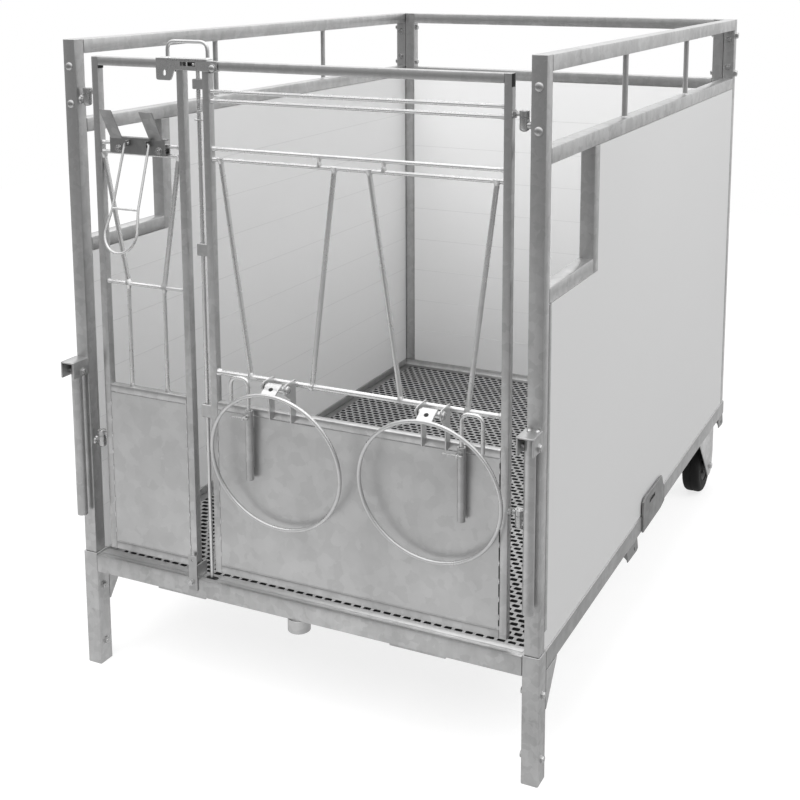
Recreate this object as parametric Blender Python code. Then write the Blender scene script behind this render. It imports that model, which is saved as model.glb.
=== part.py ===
import math

import bmesh
import bpy
import numpy as np

# Pen coordinates: x across (0 in the middle), y back from the front of the front posts, z up from the
# base frame's corner. piece() moves them to the world, which has z = 0 on the ground.
FRONT_Y = -0.7517
BASE_Z = 0.260

GAP = 0.0003
HALF_WIDTH = 0.525
TUBE = 0.030
LENGTH = 1.560
MID_RAIL = (0.917, 0.947)
TOP_RAIL = (1.080, 1.110)
REAR_BOLT_Z = (1.066, 0.960)
WINDOW = (0.280, 0.310, 0.665, 0.695)

BEAM_OUT = 0.5275
BEAM_IN = 0.4925
BEAM_TOP = -0.003
BEAM_BOTTOM = -0.043
BASE_FRONT = -0.0025
BASE_REAR = 1.5625
LEG = 0.035
LEG_DEPTH = 0.039
LEG_WALL = 0.003
LEG_BACK = BASE_FRONT + LEG_DEPTH
LEG_BOLT_Y = BASE_FRONT + LEG_DEPTH / 2
LEG_BOLT_Z = (-0.081, -0.212)
SILL_BACK = 0.0325
FLOOR_OPENINGS = (8, 12)
FLOOR_BAR = 0.036

GATE_Y = (0.006, 0.024)
ROD_Y = 0.015
GATE_X = (-0.190, 0.4585)
GATE_Z = (0.0175, 1.076)
DOOR_X = (-0.459, -0.2345)
DOOR_Z = (0.0178, 1.077)
STILE = 0.016
RAIL = 0.018
SHEET_TOP = 0.387
HINGE_X = 0.4785
HINGE_Z = (0.2659, 1.0006)

HOOK_X = (-0.0898, 0.3714)
CLAMP_Z = 0.3765
TEAT_BOLT_X = (-0.3960, -0.2965)
RING_X = (-0.0175, 0.3146)
RING_R = 0.145
RING_BAR = 0.004
RING_STEPS = 36
RING_PIVOT = (-0.022, 0.447)

HANDLE_X = 0.510
HANDLE_PIVOT = (-0.020, 0.415)
HANDLE_END = 0.095

WHEEL_X = 0.470
AXLE = (1.490, -0.180)
WHEEL_R = 0.080

LATCH_PIVOT = (-0.162, 1.063)
ROD_X = -0.2045
ROD_HOOK_Z = 1.0695

STEEL = ("galvanised_steel", (0.60, 0.61, 0.62), 0.45, 0.9)
ZINC = ("zinc_plated_bolt", (0.72, 0.72, 0.70), 0.35, 0.9)
PANEL = ("white_panel", (0.86, 0.87, 0.87), 0.5, 0.0)
FLOOR = ("floor_steel", (0.50, 0.51, 0.52), 0.5, 0.9)
RUBBER = ("tyre_rubber", (0.02, 0.02, 0.02), 0.8, 0.0)
NYLON = ("wheel_hub", (0.05, 0.05, 0.05), 0.5, 0.0)


def clear_scene():
    for item in list(bpy.data.objects):
        bpy.data.objects.remove(item, do_unlink=True)


def material(spec):
    name, colour, roughness, metallic = spec
    found = bpy.data.materials.get(name)
    if found:
        return found
    made = bpy.data.materials.new(name)
    made.use_nodes = True
    shader = made.node_tree.nodes["Principled BSDF"]
    shader.inputs["Base Color"].default_value = colour + (1.0,)
    shader.inputs["Roughness"].default_value = roughness
    shader.inputs["Metallic"].default_value = metallic
    return made


def joined(*shapes):
    # Several separate closed shapes as one shape.
    points, faces, start = [], [], 0
    for verts, polys in shapes:
        points.append(np.asarray(verts, float))
        faces += [[start + i for i in poly] for poly in polys]
        start += len(verts)
    return np.vstack(points), faces


def to_mesh(name, shape):
    verts, faces = shape
    mesh = bpy.data.meshes.new(name)
    mesh.from_pydata([tuple(v) for v in verts], [], [tuple(f) for f in faces])
    body = bmesh.new()
    body.from_mesh(mesh)
    bmesh.ops.recalc_face_normals(body, faces=body.faces)
    body.to_mesh(mesh)
    body.free()
    return mesh


def combined(base, tools, operation):
    # Exact Boolean of a shape with a list of shapes, in order.
    made = [bpy.data.objects.new("work", to_mesh("work", shape)) for shape in [base] + list(tools)]
    for item in made:
        bpy.context.scene.collection.objects.link(item)
    for tool in made[1:]:
        step = made[0].modifiers.new("step", "BOOLEAN")
        step.operation = operation
        step.solver = "EXACT"
        step.object = tool
    graph = bpy.context.evaluated_depsgraph_get()
    result = bpy.data.meshes.new_from_object(made[0].evaluated_get(graph))
    body = bmesh.new()
    body.from_mesh(result)
    bmesh.ops.remove_doubles(body, verts=body.verts, dist=1e-6)
    bmesh.ops.dissolve_degenerate(body, edges=body.edges, dist=1e-6)
    body.to_mesh(result)
    body.free()
    verts = np.array([v.co[:] for v in result.vertices])
    faces = [list(p.vertices) for p in result.polygons]
    for item in made:
        mesh = item.data
        bpy.data.objects.remove(item, do_unlink=True)
        bpy.data.meshes.remove(mesh)
    bpy.data.meshes.remove(result)
    return verts, faces


def weld(base, *others):
    return combined(base, others, "UNION")


def cut(base, *tools):
    return combined(base, tools, "DIFFERENCE")


def piece(name, shape, spec, pivot=(0.0, 0.0, 0.0), smooth=35.0):
    # A named object. Its origin is at the pivot, so a moving piece turns about its own origin.
    verts, faces = shape
    mesh = to_mesh(name, (np.asarray(verts, float) - np.array(pivot), faces))
    mesh.materials.append(material(spec))
    mesh.polygons.foreach_set("use_smooth", [True] * len(mesh.polygons))
    mesh.set_sharp_from_angle(angle=math.radians(smooth))
    item = bpy.data.objects.new(name, mesh)
    item.location = (pivot[0], pivot[1] + FRONT_Y, pivot[2] + BASE_Z)
    bpy.context.scene.collection.objects.link(item)
    return item


def mirrored(shape):
    verts, faces = shape
    return np.asarray(verts, float) * (-1.0, 1.0, 1.0), faces


def block(x, y, z):
    verts = [(a, b, c) for c in z for b in y for a in x]
    faces = [(0, 2, 3, 1), (4, 5, 7, 6), (0, 1, 5, 4), (1, 3, 7, 5), (3, 2, 6, 7), (2, 0, 4, 6)]
    return np.array(verts), faces


def along(axis, pair, height):
    # A point from its two coordinates across the axis and its height along the axis.
    out = list(pair)
    out.insert(axis, height)
    return out


def prism(axis, outline, low, high):
    count = len(outline)
    verts = [along(axis, p, low) for p in outline] + [along(axis, p, high) for p in outline]
    faces = [list(range(count)), list(range(count, 2 * count))]
    faces += [(i, (i + 1) % count, count + (i + 1) % count, count + i) for i in range(count)]
    return np.array(verts), faces


def cells(axis, us, vs, keep, low, high):
    # A plate made of the grid cells (i, j) for which keep is true, as one closed solid.
    wide, tall = len(us), len(vs)
    verts = [along(axis, (u, v), h) for h in (low, high) for v in vs for u in us]
    layer = wide * tall
    kept = {(i, j) for i in range(wide - 1) for j in range(tall - 1) if keep(i, j)}
    faces = []
    for i, j in kept:
        ring = [j * wide + i, j * wide + i + 1, (j + 1) * wide + i + 1, (j + 1) * wide + i]
        faces.append(ring)
        faces.append([layer + k for k in reversed(ring)])
        for k, (di, dj) in enumerate(((0, -1), (1, 0), (0, 1), (-1, 0))):
            if (i + di, j + dj) not in kept:
                a, b = ring[k], ring[(k + 1) % 4]
                faces.append([a, b, layer + b, layer + a])
    used = sorted({k for face in faces for k in face})
    index = {k: n for n, k in enumerate(used)}
    return np.array([verts[k] for k in used]), [[index[k] for k in face] for face in faces]


def turned(axis, centre, rings, sides=12):
    # A solid of rings (height along the axis, radius) stacked in order; a negative radius is a hexagon.
    verts, faces = [], []
    for height, radius in rings:
        for k in range(sides):
            angle = 2 * math.pi * k / sides
            r = abs(radius)
            if radius < 0:
                off = (angle + math.pi / 6) % (math.pi / 3) - math.pi / 6
                r = r * math.cos(math.pi / 6) / math.cos(off)
            pair = (centre[0] + r * math.cos(angle), centre[1] + r * math.sin(angle))
            verts.append(along(axis, pair, height))
    for ring in range(len(rings) - 1):
        for k in range(sides):
            a, b = ring * sides + k, ring * sides + (k + 1) % sides
            faces.append((a, b, b + sides, a + sides))
    faces.append(tuple(range(sides)))
    faces.append(tuple(range((len(rings) - 1) * sides, len(rings) * sides)))
    return np.array(verts), faces


def cylinder(axis, centre, low, high, radius, sides=12):
    return turned(axis, centre, [(low, radius), (high, radius)], sides)


def pipe(axis, centre, low, high, outer, inner, sides=16):
    shape = turned(axis, centre, [(low, outer), (high, outer), (high, inner), (low, inner)], sides)
    verts, faces = shape
    faces = faces[:-2] + [(3 * sides + k, 3 * sides + (k + 1) % sides, (k + 1) % sides, k) for k in range(sides)]
    return verts, faces


def wire(path, radius, sides=8, closed=False):
    # A round bar along a path, with each bend's ring in the plane that halves the bend.
    path = np.asarray(path, float)
    count = len(path)
    ahead = np.roll(path, -1, 0) - path
    behind = path - np.roll(path, 1, 0)
    if not closed:
        ahead[-1] = behind[-1]
        behind[0] = ahead[0]
    ahead /= np.linalg.norm(ahead, axis=1)[:, None]
    behind /= np.linalg.norm(behind, axis=1)[:, None]
    normal = ahead + behind
    normal /= np.linalg.norm(normal, axis=1)[:, None]
    side = np.cross(ahead[0], (0.0, 0.0, 1.0) if abs(ahead[0][2]) < 0.9 else (0.0, 1.0, 0.0))
    side /= np.linalg.norm(side)
    verts = []
    for k in range(count):
        side = side - behind[k] * np.dot(side, behind[k])
        side /= np.linalg.norm(side)
        other = np.cross(behind[k], side)
        for s in range(sides):
            angle = 2 * math.pi * (s + 0.5) / sides
            arm = radius * (math.cos(angle) * side + math.sin(angle) * other)
            slide = np.dot(arm, normal[k]) / np.dot(behind[k], normal[k])
            verts.append(path[k] + arm - behind[k] * slide)
    faces = []
    for k in range(count if closed else count - 1):
        for s in range(sides):
            a, b = k * sides + s, k * sides + (s + 1) % sides
            c, d = ((k + 1) % count) * sides + (s + 1) % sides, ((k + 1) % count) * sides + s
            faces.append((a, b, c, d))
    if not closed:
        faces.append(tuple(range(sides)))
        faces.append(tuple(range((count - 1) * sides, count * sides)))
    return np.array(verts), faces


def arc(centre, radius, start, end, steps):
    return [(centre[0] + radius * math.cos(math.radians(start + (end - start) * k / steps)),
             centre[1] + radius * math.sin(math.radians(start + (end - start) * k / steps)))
            for k in range(steps + 1)]


def bolt(axis, centre, head_face, nut_face, radius, head=0.0075, head_h=0.005, nut=0.0075, nut_h=0.006):
    # Head, shank and nut as one solid, with a small gap between head or nut and the clamped faces.
    way = 1.0 if head_face > nut_face else -1.0
    top = head_face + way * GAP
    low = nut_face - way * GAP
    rings = [(top + way * head_h, -head * 0.9), (top + way * head_h * 0.7, -head), (top, -head), (top, radius),
             (low, radius), (low, -nut), (low - way * nut_h, -nut)]
    return turned(axis, centre, rings)


def hole(axis, centre, low, high, radius):
    return cylinder(axis, centre, low, high, radius + 0.0004, 12)


def hangers():
    # Two bolt lugs under the right side beam: a side plate with a web across its front.
    top = BEAM_BOTTOM + 0.001
    low = -0.0735
    shapes = []
    for front, back, web_x, bolt_y in ((0.568, 0.652, 0.497, 0.630), (1.500, 1.554, 0.511, 1.538)):
        side = [(front, top), (back, top), (back + 0.008, low + 0.004), (back - 0.002, low), (front + 0.010, low + 0.003)]
        plate = prism(0, side, BEAM_OUT - 0.0032, BEAM_OUT - 0.0002)
        edge = BEAM_OUT - 0.0010
        web = prism(1, [(web_x, top), (edge, top), (edge, low + 0.004)], front + 0.011, front + 0.014)
        shapes.append(cut(weld(plate, web), hole(0, (bolt_y, -0.0600), 0.51, 0.54, 0.004)))
    return shapes


def coupling_plate():
    # A plate on the right side beam's face, reaching up past its top, with a slot near its upper edge.
    outline = [(0.687, -0.0440), (0.840, -0.0446), (0.875, -0.0380), (0.875, 0.0000), (0.860, 0.0110),
               (0.846, 0.0365), (0.698, 0.0380), (0.684, 0.0300), (0.683, 0.0050)]
    shape = prism(0, outline, BEAM_OUT - 0.0005, BEAM_OUT + 0.0043)
    return cut(shape, block((0.5, 0.6), (0.735, 0.785), (0.010, 0.020)))


def base_frame():
    # The front beam is joined to the side beams by the ledges that carry the floor.
    def keep(i, j):
        front = j == 0 and i == 1
        side = j == 2 and i != 1
        return front or side or j == 3

    xs = (-BEAM_OUT, -BEAM_IN + GAP, BEAM_IN - GAP, BEAM_OUT)
    ys = (BASE_FRONT, SILL_BACK, LEG_BACK + GAP, BASE_REAR - LEG, BASE_REAR)
    ring = cells(2, xs, ys, keep, BEAM_BOTTOM, BEAM_TOP)
    ledge = 0.020
    top = -0.0235
    inner = BEAM_IN + 0.004
    parts = []
    for s in (-1, 1):
        ledge_x = s * (BEAM_IN - ledge)
        parts.append(block((ledge_x, s * (BEAM_IN - 0.0005)), (SILL_BACK - 0.004, 0.060), (BEAM_BOTTOM, top)))
        parts.append(block((ledge_x, s * inner), (LEG_BACK + 0.0005, BASE_REAR - LEG + 0.004), (BEAM_BOTTOM, top)))
    for y in (0.40, 0.78, 1.16):
        parts.append(block((-inner, inner), (y - 0.015, y + 0.015), (BEAM_BOTTOM + 0.002, top)))
    for s in (-1, 1):
        parts.append(block((s * 0.215, s * 0.335), (0.003, 0.031), (BEAM_BOTTOM - 0.006, BEAM_BOTTOM + 0.004)))
    frame = weld(ring, *parts, *hangers())
    groove = block((-0.480, 0.480), (0.0085, 0.0125), (BEAM_TOP - 0.0015, BEAM_TOP + 0.01))
    slot = block((-0.2185, -0.1895), (0.0085, 0.0215), (BEAM_TOP - 0.020, BEAM_TOP + 0.01))
    screw = hole(1, (-0.2426, -0.0120), -0.01, 0.03, 0.003)
    frame = weld(cut(frame, groove, slot, screw), coupling_plate())
    return piece("base_frame", frame, STEEL)


def front_socket():
    shape = pipe(2, (0.0035, 0.017), -0.0705, BEAM_BOTTOM - GAP, 0.0235, 0.0195, 20)
    return piece("front_socket", shape, STEEL)


def bar_edges(low, high, openings):
    # Both edges of each bar of a grid, from the first bar to the last.
    pitch = (high - low - FLOOR_BAR) / openings
    return [low + k * pitch + edge for k in range(openings + 1) for edge in (0.0, FLOOR_BAR)]


def floor_grating():
    # A plain grid of openings stands for the many small slots.
    xs = bar_edges(-BEAM_IN + 0.0006, BEAM_IN - 0.0006, FLOOR_OPENINGS[0])
    ys = bar_edges(SILL_BACK + 0.0006, BASE_REAR - LEG - 0.0006, FLOOR_OPENINGS[1])
    shape = cells(2, xs, ys, lambda i, j: i % 2 == 0 or j % 2 == 0, -0.0232, -0.0200)
    return piece("floor_grating", shape, FLOOR)


def leg(sign, name):
    outer = block((BEAM_IN, BEAM_OUT), (BASE_FRONT, LEG_BACK), (-BASE_Z, -0.0001))
    inner = block((BEAM_IN + LEG_WALL, BEAM_OUT - LEG_WALL), (BASE_FRONT + LEG_WALL, LEG_BACK - LEG_WALL),
                  (-BASE_Z + LEG_WALL, 0.01))
    holes = [hole(0, (LEG_BOLT_Y, z), BEAM_IN - 0.01, BEAM_OUT + 0.01, 0.004) for z in LEG_BOLT_Z]
    holes.append(hole(1, (HANDLE_X, -0.1385), BASE_FRONT - 0.01, 0.016, 0.004))
    shape = cut(outer, inner, *holes)
    return piece(name, shape if sign > 0 else mirrored(shape), STEEL)


def leg_gussets(sign, name):
    # Two tapered cheeks behind the leg, joined by a plate under the beam.
    back = LEG_BACK + GAP
    top = BEAM_BOTTOM - GAP
    outline = [(back, top), (0.098, top), (0.0425, -0.1165), (0.0395, -0.1215), (back, -0.1215)]
    cheeks = [prism(0, outline, x, x + 0.003) for x in (BEAM_IN, BEAM_OUT - 0.003)]
    plate = block((BEAM_IN + 0.0005, BEAM_OUT - 0.0005), (back, 0.092), (top - 0.003, top))
    shape = weld(cheeks[0], plate, cheeks[1])
    return piece(name, shape if sign > 0 else mirrored(shape), STEEL)


def cross_bolt(sign, name, centre, outer, inner, head=0.0075, head_h=0.005):
    # A bolt along x with its head on the pen's outside.
    shape = bolt(0, centre, outer, inner, 0.004, head=head, head_h=head_h)
    return piece(name, shape if sign > 0 else mirrored(shape), ZINC)


def wheel_fork(sign, name):
    tip = arc(AXLE, 0.029, 205, 345, 7)
    outline = [(1.336, BEAM_BOTTOM - GAP)] + tip + [(1.527, -0.150), (1.527, BEAM_BOTTOM - GAP)]
    outer = prism(0, outline, 0.505, 0.508)
    inner = prism(0, outline, 0.432, 0.435)
    web = block((0.432, 0.508), (1.336, 1.527), (BEAM_BOTTOM - GAP - 0.004, BEAM_BOTTOM - GAP))
    shape = weld(outer, web, inner)
    shape = cut(shape, hole(0, AXLE, 0.42, 0.52, 0.006))
    return piece(name, shape if sign > 0 else mirrored(shape), STEEL)


def wheel_axle(sign, name):
    shape = bolt(0, AXLE, 0.508, 0.432, 0.006, head=0.0105, head_h=0.0065, nut=0.0105, nut_h=0.008)
    return piece(name, shape if sign > 0 else mirrored(shape), ZINC)


def hub(sign, name):
    rings = [(0.4370, 0.011), (0.4445, 0.012), (0.4480, 0.046), (0.4920, 0.046), (0.4955, 0.012), (0.5030, 0.011),
             (0.5030, 0.0063), (0.4370, 0.0063)]
    verts, faces = turned(0, AXLE, rings, 20)
    faces = faces[:-2] + [(140 + k, 140 + (k + 1) % 20, (k + 1) % 20, k) for k in range(20)]
    shape = (verts, faces)
    pivot = (sign * WHEEL_X,) + AXLE
    return piece(name, shape if sign > 0 else mirrored(shape), NYLON, pivot)


def tyre(sign, name):
    half = 0.025
    edge = ((-half, 0.0463), (-half, 0.068), (-half + 0.004, 0.077), (-half + 0.011, WHEEL_R), (half - 0.011, WHEEL_R),
            (half - 0.004, 0.077), (half, 0.068), (half, 0.0463))
    sides = 32
    verts, faces = turned(0, AXLE, [(WHEEL_X + a, r) for a, r in edge], sides)
    last = (len(edge) - 1) * sides
    faces = faces[:-2] + [(last + k, last + (k + 1) % sides, (k + 1) % sides, k) for k in range(sides)]
    shape = (verts, faces)
    pivot = (sign * WHEEL_X,) + AXLE
    return piece(name, shape if sign > 0 else mirrored(shape), RUBBER, pivot)


def side_frame(sign, name):
    ys = (0.0, TUBE, WINDOW[0], WINDOW[1], LENGTH - TUBE, LENGTH)
    zs = (BEAM_TOP + GAP, GAP, WINDOW[2], WINDOW[3], MID_RAIL[0], MID_RAIL[1], TOP_RAIL[0], TOP_RAIL[1])

    def keep(i, j):
        if j == 0:
            return i == 4
        if i in (0, 4) or j in (4, 6):
            return True
        if i == 2:
            return j in (2, 3)
        return i == 1 and j == 2

    frame = cells(0, ys, zs, keep, HALF_WIDTH - TUBE, HALF_WIDTH)
    bars = [cylinder(2, (HANDLE_X, y), MID_RAIL[1] - 0.005, TOP_RAIL[0] + 0.005, 0.006) for y in (0.52, 1.04)]
    for z in (1.055, 0.978):
        # Screws from the outside into both posts, with their nuts on the inner side.
        for face, way in ((0.0, -1), (LENGTH, 1)):
            head = [(face - way * 0.002, 0.0085), (face + way * 0.003, 0.0085), (face + way * 0.0045, 0.005)]
            inner = face - way * TUBE
            nut = [(inner + way * 0.002, -0.0075), (inner - way * 0.006, -0.0075)]
            bars += [turned(1, (HANDLE_X, z), head), turned(1, (HANDLE_X, z), nut)]
    shape = weld(frame, *bars)
    shape = cut(shape, *[hole(0, (1.545, z), HALF_WIDTH - TUBE - 0.01, HALF_WIDTH + 0.01, 0.004) for z in REAR_BOLT_Z])
    return piece(name, shape if sign > 0 else mirrored(shape), STEEL)


def side_panel(sign, name):
    ys = (TUBE + GAP, LEG_BACK + GAP, WINDOW[1] + GAP, LENGTH - TUBE - GAP)
    zs = (BEAM_TOP + GAP, GAP, WINDOW[2] - GAP, MID_RAIL[0] - GAP)

    def keep(i, j):
        over_leg = i == 0 and j == 0
        window = i < 2 and j == 2
        return not over_leg and not window

    shape = cells(0, ys, zs, keep, HALF_WIDTH - TUBE + 0.0005, HALF_WIDTH - 0.0005)
    return piece(name, shape if sign > 0 else mirrored(shape), PANEL)


def rear_frame():
    inner = HALF_WIDTH - TUBE - GAP
    xs = (-inner, -0.465, 0.465, inner)
    zs = (BEAM_TOP + GAP, 0.915, 0.945, TOP_RAIL[0], TOP_RAIL[1])
    # The y axis takes (x, z) pairs.
    shape = cells(1, xs, zs, lambda i, j: i != 1 or j in (1, 3), LENGTH - TUBE, LENGTH)
    holes = [hole(0, (1.545, z), s * 0.48 - 0.03, s * 0.48 + 0.03, 0.004) for z in REAR_BOLT_Z for s in (-1, 1)]
    return piece("rear_frame", cut(shape, *holes), STEEL)


def rear_panel():
    shape = block((-0.465 + GAP, 0.465 - GAP), (LENGTH - TUBE + 0.0005, LENGTH - 0.0005), (BEAM_TOP + GAP, 0.915 - GAP))
    return piece("rear_panel", shape, PANEL)


def handle_bracket(sign, name):
    half = 0.017
    xs = (HANDLE_X - half, HANDLE_X - half + 0.0035, HANDLE_X + half - 0.0035, HANDLE_X + half)
    zs = (0.405, 0.4365, 0.440)
    shape = cells(1, xs, zs, lambda i, j: j == 1 or i != 1, -0.048, -GAP)
    shape = cut(shape, hole(0, HANDLE_PIVOT, HANDLE_X - 0.03, HANDLE_X + 0.03, 0.004))
    return piece(name, shape if sign > 0 else mirrored(shape), STEEL)


def handle_bolt(sign, name):
    # Both bolts point the same way, heads to the right.
    far, near = sign * HANDLE_X + 0.017, sign * HANDLE_X - 0.017
    return piece(name, bolt(0, HANDLE_PIVOT, far, near, 0.004, nut_h=0.005), ZINC)


def handle(sign, name):
    shape = pipe(2, (HANDLE_X, HANDLE_PIVOT[0]), HANDLE_END, HANDLE_PIVOT[1] + 0.0145, 0.011, 0.009, 20)
    shape = cut(shape, hole(0, HANDLE_PIVOT, HANDLE_X - 0.03, HANDLE_X + 0.03, 0.004))
    pivot = (sign * HANDLE_X,) + HANDLE_PIVOT
    return piece(name, shape if sign > 0 else mirrored(shape), STEEL, pivot)


def door_keeper():
    # The strap, its flange and the bolt that holds it to the beam.
    strap = block((-0.249, -0.228), (-0.0058, BASE_FRONT - GAP), (-0.029, 0.047))
    flange = block((-0.231, -0.228), (-0.0050, 0.031), (BEAM_TOP + GAP, 0.027))
    head = turned(1, (-0.2426, -0.0120), [(-0.0110, -0.006), (-0.0050, -0.0065), (-0.0050, 0.003), (0.012, 0.003)])
    shape = cut(weld(strap, flange, head), hole(1, (-0.2400, 0.0370), -0.01, 0.0, 0.002))
    return piece("door_keeper", shape, STEEL)


def pintle(sign, name, z):
    stem = [(z - 0.0265, 0.006), (z - 0.0235, 0.009), (z - 0.0010, 0.009), (z - 0.0010, 0.005), (z + 0.0115, 0.005)]
    pin = turned(2, (HINGE_X, ROD_Y), stem, 16)
    arm = cylinder(0, (ROD_Y, z - 0.0145), HINGE_X, HALF_WIDTH - TUBE - GAP, 0.0065)
    shape = weld(pin, arm)
    return piece(name, shape if sign > 0 else mirrored(shape), ZINC)


def hinge_eyes(edge):
    # Eyes for a leaf hung on the right, to be welded to the stile whose edge is given.
    shapes = []
    for z in HINGE_Z:
        body = cylinder(2, (HINGE_X, ROD_Y), z - 0.0004, z + 0.0108, 0.0093, 16)
        arm = cylinder(0, (ROD_Y, z + 0.0042), edge - 0.004, HINGE_X, 0.0036)
        collar = cylinder(0, (ROD_Y, z + 0.0042), edge - 0.002, edge + 0.0035, 0.0085)
        shapes.append(cut(weld(body, arm, collar), cylinder(2, (HINGE_X, ROD_Y), z - 0.01, z + 0.02, 0.0053, 16)))
    return shapes


def gate_pivot():
    return (HINGE_X, ROD_Y, 0.0)


def door_pivot():
    return (-HINGE_X, ROD_Y, 0.0)


def panel_frame(x, z):
    xs = (x[0], x[0] + STILE, x[1] - STILE, x[1])
    zs = (z[0], z[0] + 0.0165, SHEET_TOP - STILE, SHEET_TOP, z[1] - RAIL, z[1])
    return cells(1, xs, zs, lambda i, j: i != 1 or j in (0, 2, 4), GATE_Y[0], GATE_Y[1])


def rod(start, end, radius, sides=8):
    return wire([(start[0], ROD_Y, start[1]), (end[0], ROD_Y, end[1])], radius, sides)


def gate_frame():
    left, right = GATE_X[0] + 0.006, GATE_X[1] - 0.006
    frame = panel_frame(GATE_X, GATE_Z)
    bars = [rod((left, z), (right, z), 0.004) for z in (1.0170, 0.9985, 0.9040, 0.8830)]
    bars.append(rod((left, 0.448), (right, 0.448), 0.0055, 10))
    bars += [rod((x, 0.884), (x, 0.904), 0.0035) for x in (0.066, 0.2025)]
    slanted = (((-0.1565, 0.884), (-0.0965, 0.449)), ((0.0985, 0.884), (0.0430, 0.449)),
               ((0.1720, 0.884), (0.2362, 0.449)), ((0.4285, 0.884), (0.3735, 0.449)))
    bars += [rod(a, b, 0.005) for a, b in slanted]
    bars.append(cylinder(0, (ROD_Y, 0.448), 0.0380, 0.0470, 0.0085))
    shape = weld(frame, *bars, *rod_guides(), *ring_lugs(), *hinge_eyes(GATE_X[1]))
    shape = cut(shape, hole(1, LATCH_PIVOT, 0.0, 0.03, 0.003))
    return piece("gate_frame", shape, STEEL, gate_pivot())


def door_frame():
    left, right = DOOR_X[0] + 0.006, DOOR_X[1] - 0.006
    frame = panel_frame(DOOR_X, DOOR_Z)
    bars = [rod((left, z), (right, z), 0.004) for z in (0.9016, 0.8825, 0.6087)]
    bars += [rod(a, b, 0.005) for a, b in (((-0.4420, 0.878), (-0.3915, 0.609)), ((-0.2560, 0.883), (-0.3020, 0.609)))]
    bars += [rod((x, 0.609), (x, 0.380), 0.004) for x in (-0.3920, -0.3020)]
    eyes = [mirrored(eye) for eye in hinge_eyes(-DOOR_X[0])]
    return piece("door_frame", weld(frame, *bars, *eyes), STEEL, door_pivot())


def sheet(name, x, z, pivot):
    # A thin plate whose middle is pressed forward inside a border.
    x = (x[0] + STILE + GAP, x[1] - STILE - GAP)
    z = (z[0] + 0.0165 + GAP, SHEET_TOP - STILE - GAP)
    front, rise, rim = GATE_Y[0] + 0.0004, 0.0018, 0.012
    loops = [(0.0, front + 0.0025), (0.0, front), (rim, front), (rim + 0.003, front - rise)]
    corners = ((0, 0), (1, 0), (1, 1), (0, 1))
    verts = []
    for inset, y in loops:
        verts += [(x[i] + inset * (1 - 2 * i), y, z[j] + inset * (1 - 2 * j)) for i, j in corners]
    faces = [(0, 1, 2, 3), (12, 13, 14, 15)]
    for loop in range(3):
        for k in range(4):
            a, b = loop * 4 + k, loop * 4 + (k + 1) % 4
            faces.append((a, b, b + 4, a + 4))
    return piece(name, (np.array(verts), faces), STEEL, pivot)


def teat_holder():
    front, back = 0.0040, 0.0070
    web = block((-0.4175, -0.2815), (front, back), (0.8825, 0.9165))
    flange = block((-0.4175, -0.2815), (front, 0.0180), (0.9135, 0.9165))
    tabs = []
    for x in ((-0.4155, -0.3865), (-0.3185, -0.2865)):
        outline = [(front, 0.9130), (back, 0.9130), (-0.0260, 0.9735), (-0.0290, 0.9735)]
        tabs.append(prism(0, outline, x[0], x[1]))
    lugs = [block((x - 0.0015, x + 0.0015), (-0.0110, front + 0.001), (0.9000, 0.9120)) for x in (-0.3670, -0.3180)]
    holes = [hole(1, (x, 0.8925), 0.0, 0.01, 0.0035) for x in TEAT_BOLT_X]
    holes.append(hole(0, (-0.0050, 0.9060), -0.38, -0.30, 0.0028))
    shape = cut(weld(web, flange, *tabs, *lugs), *holes)
    return piece("teat_holder", shape, STEEL, door_pivot())


def teat_clamp():
    # A strip behind the two rods and its two bolts, which draw the teat holder against them.
    strip = block((-0.4175, -0.2815), (0.0200, 0.0225), (0.8800, 0.9050))
    shapes = []
    for x in TEAT_BOLT_X:
        rings = [(-0.0045, -0.0065), (0.0037, -0.0075), (0.0037, 0.0035), (0.0220, 0.0035), (0.0220, -0.0075),
                 (0.0280, -0.0070)]
        shapes.append(turned(1, (x, 0.8925), rings))
    return piece("teat_clamp", weld(strip, *shapes), ZINC, door_pivot())


def teat_loop():
    middle, slope = -0.3425, 0.350
    pin_y, pin_z = -0.0050, 0.9060

    def at(x, z):
        return (middle + x, pin_y - (pin_z - z) * slope, z)

    right = [at(0.0205, pin_z), at(0.0272, pin_z), at(0.0301, pin_z - 0.004), at(0.0315, 0.780), at(0.0380, 0.742)]
    bottom = [at(0.0390 * math.cos(math.radians(t)), 0.735 + 0.0390 * math.sin(math.radians(t)))
              for t in np.linspace(-18, -162, 9)]
    left = [(2 * middle - p[0], p[1], p[2]) for p in reversed(right)]
    loop = wire(right + bottom + left, 0.0027)
    bar = wire([at(-0.0310, 0.780), at(0.0310, 0.780)], 0.0025)
    return piece("teat_loop", weld(loop, bar), STEEL, (middle, pin_y, pin_z))


def ring_lugs():
    outline = [(0.0080, 0.3740), (-0.0080, 0.3740), (-0.0100, 0.4250), (-0.0270, 0.4370), (-0.0315, 0.4470),
               (-0.0290, 0.4575), (0.0110, 0.4600), (0.0110, 0.3880)]
    shapes = []
    for centre in RING_X:
        for side in (-0.0245, 0.0245):
            x = centre + side
            shapes.append(cut(prism(0, outline, x - 0.0015, x + 0.0015), hole(0, RING_PIVOT, x - 0.01, x + 0.01, 0.004)))
    return shapes


def ring_bolt(centre, name):
    shape = bolt(0, RING_PIVOT, centre - 0.026, centre + 0.026, 0.004, head=0.0065, head_h=0.005, nut=0.0095, nut_h=0.0055)
    return piece(name, shape, ZINC, gate_pivot())


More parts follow.
